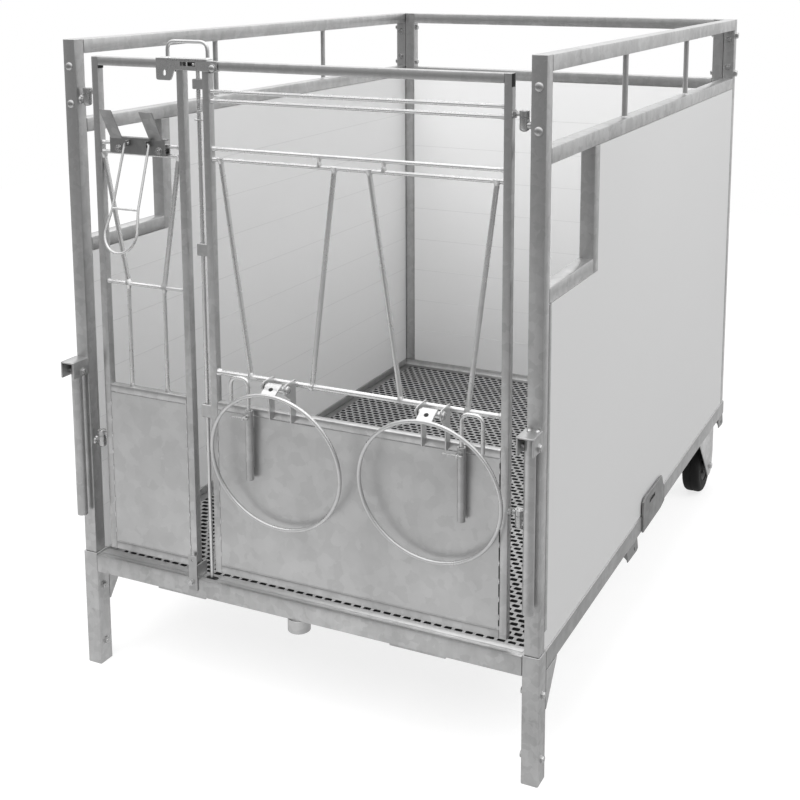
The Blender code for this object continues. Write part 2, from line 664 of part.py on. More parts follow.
def bucket_ring(centre, name):
    py, pz = RING_PIVOT
    top = (-0.0500, 0.4400)
    lean = math.radians(7.4)
    path = []
    for k in range(RING_STEPS):
        angle = 2 * math.pi * k / RING_STEPS
        down = RING_R * (1 - math.cos(angle))
        path.append((centre + RING_R * math.sin(angle), top[0] + down * math.sin(lean), top[1] - down * math.cos(lean)))
    ring = wire(path, RING_BAR, closed=True)
    plate = [(-0.0525, 0.4400), (-0.0480, 0.4455), (-0.0270, 0.4565), (-0.0190, 0.4540), (-0.0175, 0.4475),
             (-0.0270, 0.4520), (-0.0470, 0.4400)]
    bracket = prism(0, plate, centre - 0.016, centre + 0.016)
    sleeve = cylinder(0, RING_PIVOT, centre - 0.0215, centre + 0.0215, 0.0070, 16)
    shape = weld(bracket, sleeve, ring)
    bore = cylinder(0, RING_PIVOT, centre - 0.03, centre + 0.03, 0.0044, 16)
    eye = cylinder(2, (centre, -0.0370), 0.42, 0.48, 0.0045)
    return piece(name, cut(shape, bore, eye), STEEL, (centre, py, pz))


def guide_tube(x, name):
    shape = pipe(2, (x, -0.0080), 0.2420, 0.3870, 0.0080, 0.0052, 16)
    pads = [block((x - 0.003, x + 0.003), (-0.0010, 0.0040), (z, z + 0.012)) for z in (0.250, 0.335)]
    shape = weld(shape, *pads)
    bore = cylinder(1, (x, CLAMP_Z), -0.03, -0.008, 0.0038)
    return piece(name, cut(shape, bore), STEEL, gate_pivot())


def bucket_hook(x, side, name):
    y = -0.0080
    reach = side * 0.0405
    top = 0.4515
    bend = 0.013
    path = [(x, y, 0.2480), (x, y, top - bend)]
    path += [(x + side * (bend - bend * math.cos(t)), y, top - bend + bend * math.sin(t))
             for t in np.radians((30, 60, 90))]
    path += [(x + reach - side * (bend - bend * math.cos(t)), y, top - bend + bend * math.sin(t))
             for t in np.radians((90, 60, 30))]
    path += [(x + reach, y, top - bend), (x + reach, y, 0.3960)]
    return piece(name, wire(path, 0.004), STEEL, (x, y, top))


def clamp_screw(x, name):
    rings = [(-0.0123, 0.0034), (-0.0166, 0.0034), (-0.0166, 0.0058), (-0.0215, 0.0058), (-0.0215, 0.0036), (-0.0330, 0.0036)]
    screw = turned(1, (x, CLAMP_Z), rings)
    bar = cylinder(0, (-0.0285, CLAMP_Z), x - 0.030, x + 0.010, 0.0022)
    return piece(name, weld(screw, bar), ZINC, (x, -0.0285, CLAMP_Z))


def rod_guides():
    # Three blocks on the gate's left stile that the drop rod slides in.
    shapes = []
    for z in ((0.3500, 0.3770), (0.6870, 0.7120), (1.0205, 1.0405)):
        radius = 0.0059 if z[0] > 1.0 else 0.0044
        body = block((-0.2125, GATE_X[0] + 0.002), (0.0065, 0.0235), z)
        shapes.append(cut(body, cylinder(2, (ROD_X, ROD_Y), z[0] - 0.01, z[1] + 0.01, radius, 16)))
    return shapes


def drop_rod():
    rings = [(BEAM_TOP + 0.0005, 0.0032), (0.0010, 0.0040), (0.9580, 0.0040), (0.9580, 0.0075), (0.9605, 0.0075),
             (0.9605, 0.0052), (1.0150, 0.0052), (1.0150, 0.0040), (ROD_HOOK_Z + 0.0025, 0.0040)]
    stem = turned(2, (ROD_X, ROD_Y), rings)
    hook = cylinder(1, (ROD_X, ROD_HOOK_Z), -0.0020, ROD_Y, 0.0025)
    pin = cylinder(0, (ROD_Y, 0.9592), ROD_X - 0.0108, ROD_X + 0.0108, 0.0018)
    return piece("drop_rod", weld(stem, hook, pin), ZINC, (ROD_X, ROD_Y, 0.0))


def latch():
    px, pz = LATCH_PIVOT
    front = (0.0015, 0.0045)
    outline = [(-0.2950, 1.0395), (-0.2915, 1.0360), (-0.2620, 1.0360), (-0.2580, 1.0395), (-0.2540, 1.0480),
               (-0.2500, 1.0570), (-0.1540, 1.0560), (-0.1515, 1.0600), (-0.1515, 1.0770), (-0.2950, 1.0770)]
    plate = prism(1, outline, front[0], front[1])
    cap = block((-0.2950, -0.1740), (front[0], 0.0230), (1.0775 + GAP, 1.0800))
    lip = block((-0.2950, -0.1740), front, (1.0760, 1.0790))
    bend = 0.014
    legs = (-0.2730, -0.1785)
    path = [(legs[0], 0.0120, 1.0785), (legs[0], 0.0120, 1.1130 - bend)]
    path += [(legs[0] + bend - bend * math.cos(t), 0.0120, 1.1130 - bend + bend * math.sin(t))
             for t in np.radians((30, 60, 90))]
    path += [(legs[1] - bend + bend * math.cos(t), 0.0120, 1.1130 - bend + bend * math.sin(t))
             for t in np.radians((90, 60, 30))]
    path += [(legs[1], 0.0120, 1.1130 - bend), (legs[1], 0.0120, 1.0785)]
    shape = weld(plate, lip, cap, wire(path, 0.0038))
    slot = block((-0.2365, -0.2012), (-0.01, 0.01), (ROD_HOOK_Z - 0.0040, ROD_HOOK_Z + 0.0040))
    eye = prism(1, arc((-0.2745, 1.0485), 0.003, 180, 360, 5) + arc((-0.2745, 1.0535), 0.003, 0, 180, 5), -0.01, 0.01)
    shape = cut(shape, slot, eye, hole(1, LATCH_PIVOT, -0.01, 0.01, 0.003))
    return piece("latch", shape, STEEL, (px, 0.0030, pz))


def latch_bolt():
    shape = bolt(1, LATCH_PIVOT, 0.0012, GATE_Y[1], 0.003, head=0.0080, head_h=0.005, nut=0.0060, nut_h=0.005)
    return piece("latch_bolt", shape, ZINC, gate_pivot())


def build():
    clear_scene()
    base_frame()
    front_socket()
    floor_grating()
    rear_frame()
    rear_panel()
    for sign, side in ((-1, "left"), (1, "right")):
        leg(sign, "front_leg_" + side)
        leg_gussets(sign, "leg_gussets_" + side)
        wheel_fork(sign, "wheel_fork_" + side)
        wheel_axle(sign, "wheel_axle_" + side)
        hub(sign, "hub_" + side)
        tyre(sign, "tyre_" + side)
        side_frame(sign, "side_frame_" + side)
        side_panel(sign, "side_panel_" + side)
        handle_bracket(sign, "handle_bracket_" + side)
        handle_bolt(sign, "handle_bolt_" + side)
        handle(sign, "handle_" + side)
        for z, place in zip(LEG_BOLT_Z, ("upper", "lower")):
            cross_bolt(sign, f"leg_bolt_{place}_{side}", (LEG_BOLT_Y, z), BEAM_OUT, BEAM_IN, head_h=0.0047)
        for z, place in zip(REAR_BOLT_Z, ("upper", "lower")):
            cross_bolt(sign, f"rear_bolt_{place}_{side}", (1.545, z), HALF_WIDTH, 0.465, 0.0095, 0.0083)
        for z, place in zip(HINGE_Z, ("lower", "upper")):
            pintle(sign, f"{'door' if sign < 0 else 'gate'}_pintle_{place}", z)
    door_keeper()
    door_frame()
    sheet("door_sheet", DOOR_X, DOOR_Z, door_pivot())
    teat_holder()
    teat_clamp()
    teat_loop()
    gate_frame()
    sheet("gate_sheet", GATE_X, GATE_Z, gate_pivot())
    drop_rod()
    latch()
    latch_bolt()
    for centre, side in zip(RING_X, ("left", "right")):
        ring_bolt(centre, "ring_bolt_" + side)
        bucket_ring(centre, "bucket_ring_" + side)
    for x, way, side in ((HOOK_X[0], -1, "left"), (HOOK_X[1], 1, "right")):
        guide_tube(x, "guide_tube_" + side)
        bucket_hook(x, way, "bucket_hook_" + side)
        clamp_screw(x, "clamp_screw_" + side)


build()
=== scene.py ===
import math

import bmesh
import bpy
import numpy as np
from mathutils.geometry import tessellate_polygon
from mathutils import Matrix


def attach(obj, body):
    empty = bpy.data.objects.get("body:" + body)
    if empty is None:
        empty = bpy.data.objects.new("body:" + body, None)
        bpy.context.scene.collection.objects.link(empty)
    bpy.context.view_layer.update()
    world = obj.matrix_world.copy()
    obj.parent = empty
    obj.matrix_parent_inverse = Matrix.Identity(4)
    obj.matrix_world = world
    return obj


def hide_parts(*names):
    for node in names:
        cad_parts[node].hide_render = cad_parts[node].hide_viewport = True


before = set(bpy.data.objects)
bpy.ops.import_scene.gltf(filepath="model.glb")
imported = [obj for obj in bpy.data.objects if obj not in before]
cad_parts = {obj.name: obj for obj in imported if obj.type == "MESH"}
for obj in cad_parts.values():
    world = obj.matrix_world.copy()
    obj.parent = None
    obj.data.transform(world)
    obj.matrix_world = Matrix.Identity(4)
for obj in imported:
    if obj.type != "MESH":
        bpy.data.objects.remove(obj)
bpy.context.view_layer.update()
print("frame loaded")

# Pen coordinates, as in the part: x across, y back from the front posts' face, z up from the base frame.
# place moves them to the world, which has z = 0 on the ground; gap is left between neighbouring pieces.
place = np.array((0.0, -0.7517, 0.260))
gap = 0.0003

pen = {
    "halfWidth": 0.525, "tube": 0.030, "length": 1.560, "beamTop": -0.003, "beamBottom": -0.043,
    "beamOut": 0.5275, "beamIn": 0.4925, "sillBack": 0.0325, "baseFront": -0.0025, "baseRear": 1.5625,
    "topRail": (1.080, 1.110), "midRail": (0.917, 0.947), "rearMid": (0.915, 0.945), "legBack": 0.0365,
    "windowY": (0.280, 0.310), "windowZ": (0.665, 0.695), "barsY": (0.52, 1.04), "corner": 0.0028,
}


# Shapes. Each is a pair: an array of points and a list of faces.

def merge(*shapes):
    points, faces, start = [], [], 0
    for verts, polys in shapes:
        points.append(np.asarray(verts, float))
        faces.extend([tuple(start + i for i in poly) for poly in polys])
        start += len(verts)
    return np.vstack(points), faces


def skin(rings, loop=False):
    # Joins ring k to ring k + 1, point for point; loop joins the last ring to the first in place of end caps.
    rings = np.asarray(rings, float)
    count, sides = rings.shape[:2]
    ring = np.arange(count if loop else count - 1)[:, None]
    side = np.arange(sides)[None, :]
    nextRing, nextSide = (ring + 1) % count, (side + 1) % sides
    quads = np.stack([ring * sides + side, ring * sides + nextSide, nextRing * sides + nextSide,
                      nextRing * sides + side], -1).reshape(-1, 4)
    faces = [tuple(q) for q in quads.tolist()]
    if not loop:
        faces.append(tuple(range(sides))[::-1])
        faces.append(tuple(range((count - 1) * sides, count * sides)))
    return rings.reshape(-1, 3), faces


def circle(radius, sides):
    t = 2 * np.pi * (np.arange(sides) + 0.5) / sides
    return np.stack([radius * np.cos(t), radius * np.sin(t)], 1)


def corners(x, y):
    # The four corners of a rectangle, in turn.
    return [(x[0], y[0]), (x[1], y[0]), (x[1], y[1]), (x[0], y[1])]


def roundedBox(width, height, corner, steps=3):
    # A rectangle whose corners are quarter circles.
    points = []
    for k, (sx, sy) in enumerate(((1, 1), (-1, 1), (-1, -1), (1, -1))):
        for t in np.radians(np.linspace(0, 90, steps) + 90 * k):
            points.append((sx * (width / 2 - corner) + corner * math.cos(t),
                           sy * (height / 2 - corner) + corner * math.sin(t)))
    return np.array(points)


def sweep(path, profile, closed=False, up=(0.0, 0.0, 1.0), scales=None):
    # The profile carried along the path; at a bend its ring lies in the plane that halves the bend.
    path = np.asarray(path, float)
    ahead = np.roll(path, -1, 0) - path
    behind = path - np.roll(path, 1, 0)
    if not closed:
        ahead[-1], behind[0] = behind[-1], ahead[0]
    ahead /= np.linalg.norm(ahead, axis=1)[:, None]
    behind /= np.linalg.norm(behind, axis=1)[:, None]
    halfway = ahead + behind
    halfway /= np.linalg.norm(halfway, axis=1)[:, None]
    side = np.cross(behind[0], up)
    if np.linalg.norm(side) < 1e-3:
        side = np.cross(behind[0], (0.0, 1.0, 0.0))
    rings = []
    for k in range(len(path)):
        side = side - behind[k] * np.dot(side, behind[k])
        side /= np.linalg.norm(side)
        other = np.cross(side, behind[k])
        arm = profile * (scales[k] if scales is not None else 1.0)
        arm = arm[:, :1] * side + arm[:, 1:] * other
        slide = arm @ halfway[k] / np.dot(behind[k], halfway[k])
        rings.append(path[k] + arm - slide[:, None] * behind[k])
    return skin(rings, closed)


def bent(points, bend, steps=5):
    # A path whose corners are arcs: each corner is replaced by a curve between points one bend away from it.
    points = [np.asarray(p, float) for p in points]
    out = [points[0]]
    for before, here, after in zip(points, points[1:], points[2:]):
        a = here + (before - here) / np.linalg.norm(before - here) * bend
        b = here + (after - here) / np.linalg.norm(after - here) * bend
        out += [(1 - t) ** 2 * a + 2 * t * (1 - t) * here + t * t * b for t in np.linspace(0, 1, steps + 1)]
    return np.array(out + [points[-1]])


def rod(points, radius, bend=0.0, sides=14):
    # A round bar with its end edges rounded off: the end rings shrink to 0.72 over 0.35 of the radius.
    path = np.asarray(bent(points, bend) if bend else points, float)
    ends = []
    for end, beside in ((path[0], path[1]), (path[-1], path[-2])):
        ends.append(end + (beside - end) / np.linalg.norm(beside - end) * radius * 0.35)
    path = np.vstack([path[:1], ends[:1], path[1:-1], ends[1:], path[-1:]])
    scales = np.ones(len(path))
    scales[[0, -1]] = 0.72
    return sweep(path, circle(radius, sides), scales=scales)


def tube(x, y, z, corner=None, bevel=0.0006):
    # A square or flat tube along its longest side, long edges rounded and ends just broken.
    low = np.array([min(x), min(y), min(z)])
    high = np.array([max(x), max(y), max(z)])
    axis = int(np.argmax(high - low))
    others = [i for i in range(3) if i != axis]
    size = (high - low)[others]
    corner = min(pen["corner"] if corner is None else corner, size.min() * 0.45)
    middle = (low + high)[others] / 2
    rings = []
    start, end = low[axis], high[axis]
    for height, shrink in ((start, bevel), (start + bevel, 0), (end - bevel, 0), (end, bevel)):
        outline = roundedBox(size[0] - 2 * shrink, size[1] - 2 * shrink, max(corner - shrink, 0.0002))
        ring = np.zeros((len(outline), 3))
        ring[:, others] = outline + middle
        ring[:, axis] = height
        rings.append(ring)
    return skin(rings)


def onAxis(axis, pair, height):
    out = list(pair)
    out.insert(axis, height)
    return out


def turned(axis, centre, profile, sides=24, loop=False):
    # Rings of the profile's (height, radius) about the axis; a negative radius is a hexagon's.
    rings = []
    for height, radius in profile:
        t = 2 * np.pi * np.arange(sides) / sides
        r = np.full(sides, abs(radius))
        if radius < 0:
            off = (t + np.pi / 6) % (np.pi / 3) - np.pi / 6
            r = r * math.cos(math.pi / 6) / np.cos(off)
        rings.append([onAxis(axis, (centre[0] + a, centre[1] + b), height)
                      for a, b in zip(r * np.cos(t), r * np.sin(t))])
    return skin(rings, loop)


def hollow(axis, centre, profile, sides=28):
    # A turned shape with a hole along its axis: its profile is a closed outline.
    return turned(axis, centre, profile, sides, loop=True)


def pipe(axis, centre, low, high, outer, inner, edge=0.0004):
    outside = [(low, outer - edge), (low + edge, outer), (high - edge, outer), (high, outer - edge)]
    inside = [(high, inner + edge), (high - edge, inner), (low + edge, inner), (low, inner + edge)]
    return hollow(axis, centre, outside + inside)


def inset(outline, by):
    # Each corner moved inwards so that every edge lies this far inside the old one.
    points = np.asarray(outline, float)
    edge = np.roll(points, -1, 0) - points
    edge /= np.linalg.norm(edge, axis=1)[:, None]
    area = np.sum(points[:, 0] * np.roll(points[:, 1], -1) - np.roll(points[:, 0], -1) * points[:, 1])
    way = 1.0 if area > 0 else -1.0
    normal = np.stack([-edge[:, 1], edge[:, 0]], 1) * way
    before = np.roll(normal, 1, 0)
    half = normal + before
    half /= np.maximum(np.linalg.norm(half, axis=1), 0.3)[:, None]
    reach = np.clip(np.sum(half * normal, 1), 0.4, 1.0)
    return points + half * (by / reach)[:, None]


def plate(axis, outline, low, high, holes=(), bevel=0.0005):
    # A flat plate with broken edges and round holes (u, v, radius) or outlines cut through.
    outline = [tuple(p) for p in outline]
    bevel = min(bevel, (high - low) * 0.3)
    inner = [tuple(p) for p in inset(outline, bevel)]
    cuts = []
    for cut in holes:
        if len(cut) == 3 and np.isscalar(cut[0]):
            cut = [tuple(p) for p in circle(cut[2], 14) + (cut[0], cut[1])]
        cuts.append([tuple(p) for p in cut])
    rings = [(inner, low), (outline, low + bevel), (outline, high - bevel), (inner, high)]
    verts = [onAxis(axis, p, h) for ring, h in rings for p in ring]
    count = len(outline)
    faces = []
    for k in range(3):
        for i in range(count):
            a, b = k * count + i, k * count + (i + 1) % count
            faces.append((a, b, b + count, a + count))
    start = {"low": [0], "high": [3 * count]}
    for cut in cuts:
        first, size = len(verts), len(cut)
        verts += [onAxis(axis, p, low) for p in cut] + [onAxis(axis, p, high) for p in cut]
        start["low"].append(first)
        start["high"].append(first + size)
        faces += [(first + i, first + (i + 1) % size, first + size + (i + 1) % size, first + size + i)
                  for i in range(size)]
    flat = [[(p[0], p[1], 0.0) for p in ring] for ring in [inner] + cuts]
    index = [(ring, i) for ring, points in enumerate(flat) for i in range(len(points))]
    for a, b, c in tessellate_polygon(flat):
        for side in ("low", "high"):
            faces.append(tuple(start[side][index[i][0]] + index[i][1] for i in (a, b, c)))
    return np.array(verts), faces


def hexBolt(axis, centre, face, way, radius=0.0075, tall=0.005, washer=1.25, shank=0.004, dome=False):
    # A bolt head or nut standing on a face: a washer, then a hexagon whose top corners are turned off. A
    # dome's height follows a sine and its radius a cosine to the power 0.8.
    foot, wide = face + way * 0.0011, radius * washer
    rings = [(face, wide), (foot - way * 0.0003, wide), (foot, wide - 0.0003)]
    top = foot + way * tall
    head = [(foot, -radius), (top - way * tall * 0.18, -radius), (top, radius * 0.84), (top, shank * 0.9),
            (top + way * 0.0004, shank * 0.8)]
    if dome:
        t = np.radians(np.linspace(0, 80, 6))
        head = [(foot + way * tall * math.sin(a), radius * math.cos(a) ** 0.8) for a in t]
    return merge(turned(axis, centre, rings), turned(axis, centre, head))


def mirrored(shape):
    verts, faces = shape
    return np.asarray(verts) * (-1.0, 1.0, 1.0), faces


def weldBead(start, end, radius):
    # A bead along a short line, fat in the middle, its radius following half a sine.
    t = np.linspace(0.02, 0.98, 7)
    path = np.asarray(start) + t[:, None] * (np.asarray(end) - np.asarray(start))
    return sweep(path, circle(radius, 10), scales=0.35 + 0.65 * np.sin(np.pi * t))


def meshOf(name, shape):
    # A mesh of the shape at its place in the world, with its faces turned outward.
    verts, faces = shape
    mesh = bpy.data.meshes.new(name)
    mesh.from_pydata((np.asarray(verts) + place).tolist(), [], faces)
    body = bmesh.new()
    body.from_mesh(mesh)
    bmesh.ops.recalc_face_normals(body, faces=body.faces)
    body.to_mesh(mesh)
    body.free()
    return mesh


def piece(name, shapes, look, replaces=(), body="pen", turn=None, smooth=35.0):
    # Makes the object and ties it to the body it moves with; turn, if given, is called on its shape first.
    shape = merge(*shapes) if isinstance(shapes, list) else shapes
    mesh = meshOf(name, turn(shape) if turn else shape)
    mesh.materials.append(looks[look])
    mesh.polygons.foreach_set("use_smooth", np.ones(len(mesh.polygons), bool))
    mesh.set_sharp_from_angle(angle=math.radians(smooth))
    made = bpy.data.objects.new(name, mesh)
    bpy.context.scene.collection.objects.link(made)
    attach(made, body)
    if replaces:
        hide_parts(*replaces)
    return made


def fastener(name, shapes, replaces=(), body="pen", turn=None):
    return piece(name, shapes, "zinc", replaces, body, turn)


# For pieces made once per side, which are drawn on the right: the side, its name in a piece's name, and what
# brings the shape to that side.
eachSide = (("left", "Left", mirrored), ("right", "Right", None))


# Materials.

def groupOf(name, inputs, outputs):
    tree = bpy.data.node_groups.new(name, "ShaderNodeTree")
    for label, kind, value in inputs:
        made = tree.interface.new_socket(label, in_out="INPUT", socket_type=kind)
        made.default_value = value
    for label, kind in outputs:
        tree.interface.new_socket(label, in_out="OUTPUT", socket_type=kind)
    return tree, tree.nodes.new("NodeGroupInput"), tree.nodes.new("NodeGroupOutput")


def node(tree, kind, **values):
    made = tree.nodes.new(kind)
    for key, value in values.items():
        if key in made.inputs:
            made.inputs[key].default_value = value
        else:
            setattr(made, key, value)
    return made


def mathNode(tree, operation, a, b):
    made = tree.nodes.new("ShaderNodeMath")
    made.operation = operation
    for i, value in enumerate((a, b)):
        if isinstance(value, (int, float)):
            made.inputs[i].default_value = value
        else:
            tree.links.new(value, made.inputs[i])
    return made.outputs[0]


def sums(tree):
    # Short calls for a tree's sums, its products and the larger of two values.
    return [lambda a, b, kind=kind: mathNode(tree, kind, a, b) for kind in ("ADD", "MULTIPLY", "MAXIMUM")]


def shaded(name, values):
    # A new material, its tree and its shader with these values.
    made = bpy.data.materials.new(name)
    made.use_nodes = True
    shader = made.node_tree.nodes["Principled BSDF"]
    for label, value in values.items():
        shader.inputs[label].default_value = value
    return made, made.node_tree, shader


def zincSkin():
    # Grey value, roughness and height of a hot-dip coat: crystal cells, soft clouds and run marks.
    number = "NodeSocketFloat"
    given = [("Grey", number, 0.5), ("Cells", number, 70.0), ("Strength", number, 0.2),
             ("Rough", number, 0.4), ("Runs", number, 1.0)]
    results = [("Color", "NodeSocketColor"), ("Roughness", number), ("Height", number)]
    tree, source, out = groupOf("zincSkin", given, results)
    add, times = sums(tree)[:2]
    coords = node(tree, "ShaderNodeTexCoord").outputs["Object"]
    cells = node(tree, "ShaderNodeTexVoronoi", feature="F1")
    warp = node(tree, "ShaderNodeTexNoise", Scale=60.0, Detail=2.0)
    shift = node(tree, "ShaderNodeMixRGB", blend_type="ADD", Fac=0.02)
    clouds = node(tree, "ShaderNodeTexNoise", Scale=5.0, Detail=5.0, Roughness=0.6)
    runs = node(tree, "ShaderNodeTexNoise", Scale=1.0, Detail=4.0, Roughness=0.65)
    stretch = node(tree, "ShaderNodeMapping")
    stretch.inputs["Scale"].default_value = (34.0, 34.0, 3.0)
    split = node(tree, "ShaderNodeSeparateColor")
    for start, end in ((coords, warp.inputs["Vector"]), (coords, shift.inputs[1]),
                       (warp.outputs["Color"], shift.inputs[2]), (shift.outputs[0], cells.inputs["Vector"]),
                       (source.outputs["Cells"], cells.inputs["Scale"]), (coords, clouds.inputs["Vector"]),
                       (coords, stretch.inputs["Vector"]), (stretch.outputs[0], runs.inputs["Vector"]),
                       (cells.outputs["Color"], split.inputs[0])):
        tree.links.new(start, end)
    cellPart = times(add(split.outputs[0], -0.5), 0.45)
    cloudPart = times(add(clouds.outputs["Fac"], -0.5), 2.2)
    runPart = times(add(runs.outputs["Fac"], -0.5), source.outputs["Runs"])
    total = add(add(cellPart, cloudPart), runPart)
    grey = times(add(times(total, source.outputs["Strength"]), 1.0), source.outputs["Grey"])
    colour = node(tree, "ShaderNodeCombineColor")
    for i in range(3):
        tree.links.new(grey, colour.inputs[i])
    tree.links.new(colour.outputs[0], out.inputs["Color"])
    tree.links.new(add(times(total, -0.12), source.outputs["Rough"]), out.inputs["Roughness"])
    tree.links.new(add(times(split.outputs[1], 0.25), runs.outputs["Fac"]), out.inputs["Height"])
    return tree


def steel(name, grey, strength=0.2, rough=0.4, metallic=0.9, cells=70.0, bump=0.15, runs=1.0):
    made, tree, shader = shaded(name, {"Metallic": metallic})
    coat = node(tree, "ShaderNodeGroup")
    coat.node_tree = skinGroup
    given = {"Grey": grey, "Cells": cells, "Strength": strength, "Rough": rough, "Runs": runs}
    for key, value in given.items():
        coat.inputs[key].default_value = value
    relief = node(tree, "ShaderNodeBump", Strength=bump, Distance=0.0006)
    tree.links.new(coat.outputs["Height"], relief.inputs["Height"])
    tree.links.new(coat.outputs["Color"], shader.inputs["Base Color"])
    tree.links.new(coat.outputs["Roughness"], shader.inputs["Roughness"])
    tree.links.new(relief.outputs[0], shader.inputs["Normal"])
    return made


def plastic(name, grey, rough, grain, spread, bump=0.1, specular=0.5):
    # Moulded plastic or rubber: soft clouds in colour, a fine grain in roughness and relief.
    made, tree, shader = shaded(name, {"Specular IOR Level": specular})
    coords = node(tree, "ShaderNodeTexCoord")
    clouds = node(tree, "ShaderNodeTexNoise", Scale=2.5, Detail=4.0)
    fine = node(tree, "ShaderNodeTexNoise", Scale=grain, Detail=3.0)
    for texture in (clouds, fine):
        tree.links.new(coords.outputs["Object"], texture.inputs["Vector"])
    swing = mathNode(tree, "MULTIPLY_ADD", clouds.outputs["Fac"], spread)
    swing.node.inputs[2].default_value = 1.0 - spread * 0.5
    tint = node(tree, "ShaderNodeVectorMath", operation="SCALE")
    tint.inputs[0].default_value = (grey, grey, grey)
    tree.links.new(swing, tint.inputs["Scale"])
    dull = mathNode(tree, "MULTIPLY_ADD", fine.outputs["Fac"], 0.12)
    dull.node.inputs[2].default_value = rough - 0.06
    relief = node(tree, "ShaderNodeBump", Strength=bump, Distance=0.0004)
    tree.links.new(fine.outputs["Fac"], relief.inputs["Height"])
    tree.links.new(tint.outputs[0], shader.inputs["Base Color"])
    tree.links.new(dull, shader.inputs["Roughness"])
    tree.links.new(relief.outputs[0], shader.inputs["Normal"])
    return made


skinGroup = zincSkin()
looks = {
    "tube": steel("galvanisedTube", 0.50, strength=0.30, rough=0.36),
    "rod": steel("galvanisedRod", 0.68, strength=0.14, rough=0.28, cells=90.0, bump=0.02),
    "sheet": steel("galvanisedSheet", 0.55, strength=0.16, rough=0.42, cells=45.0, bump=0.05, runs=0.2),
    "sill": steel("galvanisedSill", 0.42, strength=0.18, rough=0.42, cells=60.0),
    "ring": steel("ringSteel", 0.62, strength=0.14, rough=0.30, cells=90.0, bump=0.02),
    "strip": steel("brightStrip", 0.56, strength=0.10, rough=0.35, cells=60.0),
    "floor": steel("floorSteel", 0.45, strength=0.25, rough=0.5, metallic=0.6),
    # A darker zinc for the coupling plates and the teat holder; it also paints the shade along the floor's
    # edges by the walls.
    "dull": steel("dullZincAndShade", 0.30, strength=0.30, rough=0.42),
    "zinc": steel("zincPlate", 0.50, strength=0.12, rough=0.28, cells=200.0),
    "panel": plastic("whitePlank", 0.85, 0.45, 900.0, 0.03),
    "seam": plastic("plankSeam", 0.74, 0.6, 900.0, 0.05),
    "rubber": plastic("tyreRubber", 0.016, 0.75, 700.0, 0.4, bump=0.4, specular=0.3),
    "hub": plastic("hubPlastic", 0.028, 0.5, 700.0, 0.3),
    "dark": plastic("slotShadow", 0.02, 0.8, 300.0, 0.2),
}
print("materials made")


# Base.

# The shelf is the top of the ledges that carry the floor. Each hanger: front, back, inner reach, bolt.
base = {
    "shelf": -0.0295, "ledge": 0.020, "rearDepth": 0.035,
    "crossY": (0.40, 0.78, 1.16), "crossHalf": 0.015, "pad": ((0.215, 0.335), (0.003, 0.031)),
    "rodHole": ((-0.2185, -0.1895), (0.0085, 0.0215)),
    "stripX": ((-0.488, -0.2215), (-0.1865, 0.488)), "stripY": ((0.0130, 0.0319), (0.0028, 0.0080)),
    "hangers": ((0.568, 0.652, 0.497, 0.630), (1.500, 1.554, 0.511, 1.538)),
    "coupling": ((0.687, -0.0440), (0.840, -0.0446), (0.875, -0.0380), (0.875, 0.0000), (0.860, 0.0110),
                 (0.846, 0.0365), (0.698, 0.0380), (0.684, 0.0300), (0.683, 0.0050)),
    "couplingSlot": ((0.735, 0.785), (0.010, 0.020)),
    "paintedShadeEdges": (((-0.4918, -0.4700), (0.055, 1.5266)), ((-0.4698, 0.4915), (1.5060, 1.5266))),
}


def baseFrame():
    out, inn, top, low = pen["beamOut"], pen["beamIn"], pen["beamTop"], pen["beamBottom"]
    sill, rear, shelf = pen["sillBack"], pen["baseRear"], base["shelf"]
    parts = [tube((-inn + gap, inn - gap), (pen["baseFront"], sill), (low, top)),
             tube((-inn, inn), (rear - base["rearDepth"], rear), (low, top))]
    legEnd = pen["legBack"] + gap
    piece("sideBeams", [tube((s * inn, s * out), (legEnd, rear), (low, top)) for s in (-1, 1)], "sill")
    for s in (-1, 1):
        end = s * (inn - base["ledge"])
        across, along = (s * (inn + 0.003), end), (legEnd, rear - 0.032)
        parts += [tube(across, along, (low, low + 0.003), 0.0008),
                  tube(across, along, (-0.0325, shelf), 0.0008),
                  tube((s * (inn - 0.0006), end), (sill - 0.003, 0.060), (low, shelf), 0.0008),
                  tube([s * x for x in base["pad"][0]], base["pad"][1], (low - 0.006, low + 0.004), 0.001)]
    half = base["crossHalf"]
    for y in base["crossY"]:
        parts.append(tube((-inn - 0.003, inn + 0.003), (y - half, y + half), (low + 0.002, shelf), 0.002))
    made = piece("baseFrame", parts, "tube", ["base_frame"])
    cutOut(made, [tube(*base["rodHole"], (top - 0.020, top + 0.010), corner=0.0055, bevel=0.0002)])
    strips = [tube(x, y, (top - 0.0005, top + 0.0006), 0.0003, 0.0002)
              for x in base["stripX"] for y in base["stripY"]]
    piece("sillStrip", strips, "strip")
    lugs = []
    for front, back, reach, boltY in base["hangers"]:
        edge = [(front, low + 0.001), (back, low + 0.001), (back + 0.008, -0.0695), (back - 0.002, -0.0735),
                (front + 0.010, -0.0705)]
        web = [(reach, low + 0.001), (out - 0.001, low + 0.001), (out - 0.001, -0.0695)]
        lugs += [plate(0, edge, out - 0.0032, out - 0.0002, [(boltY, -0.060, 0.0044)]),
                 plate(1, web, front + 0.011, front + 0.014)]
    slot = corners(*base["couplingSlot"])
    lugs.append(plate(0, base["coupling"], out - 0.0005, out + 0.0043, [slot], 0.0008))
    piece("couplingPlates", lugs, "dull")
    # Thin dark strips painted as the shade along the floor's edges at the foot of the left and rear walls.
    edges = [tube(x, y, (-0.0199, -0.0194), 0.0002, 0.0001) for x, y in base["paintedShadeEdges"]]
    piece("floorEdgeShade", edges, "dull")


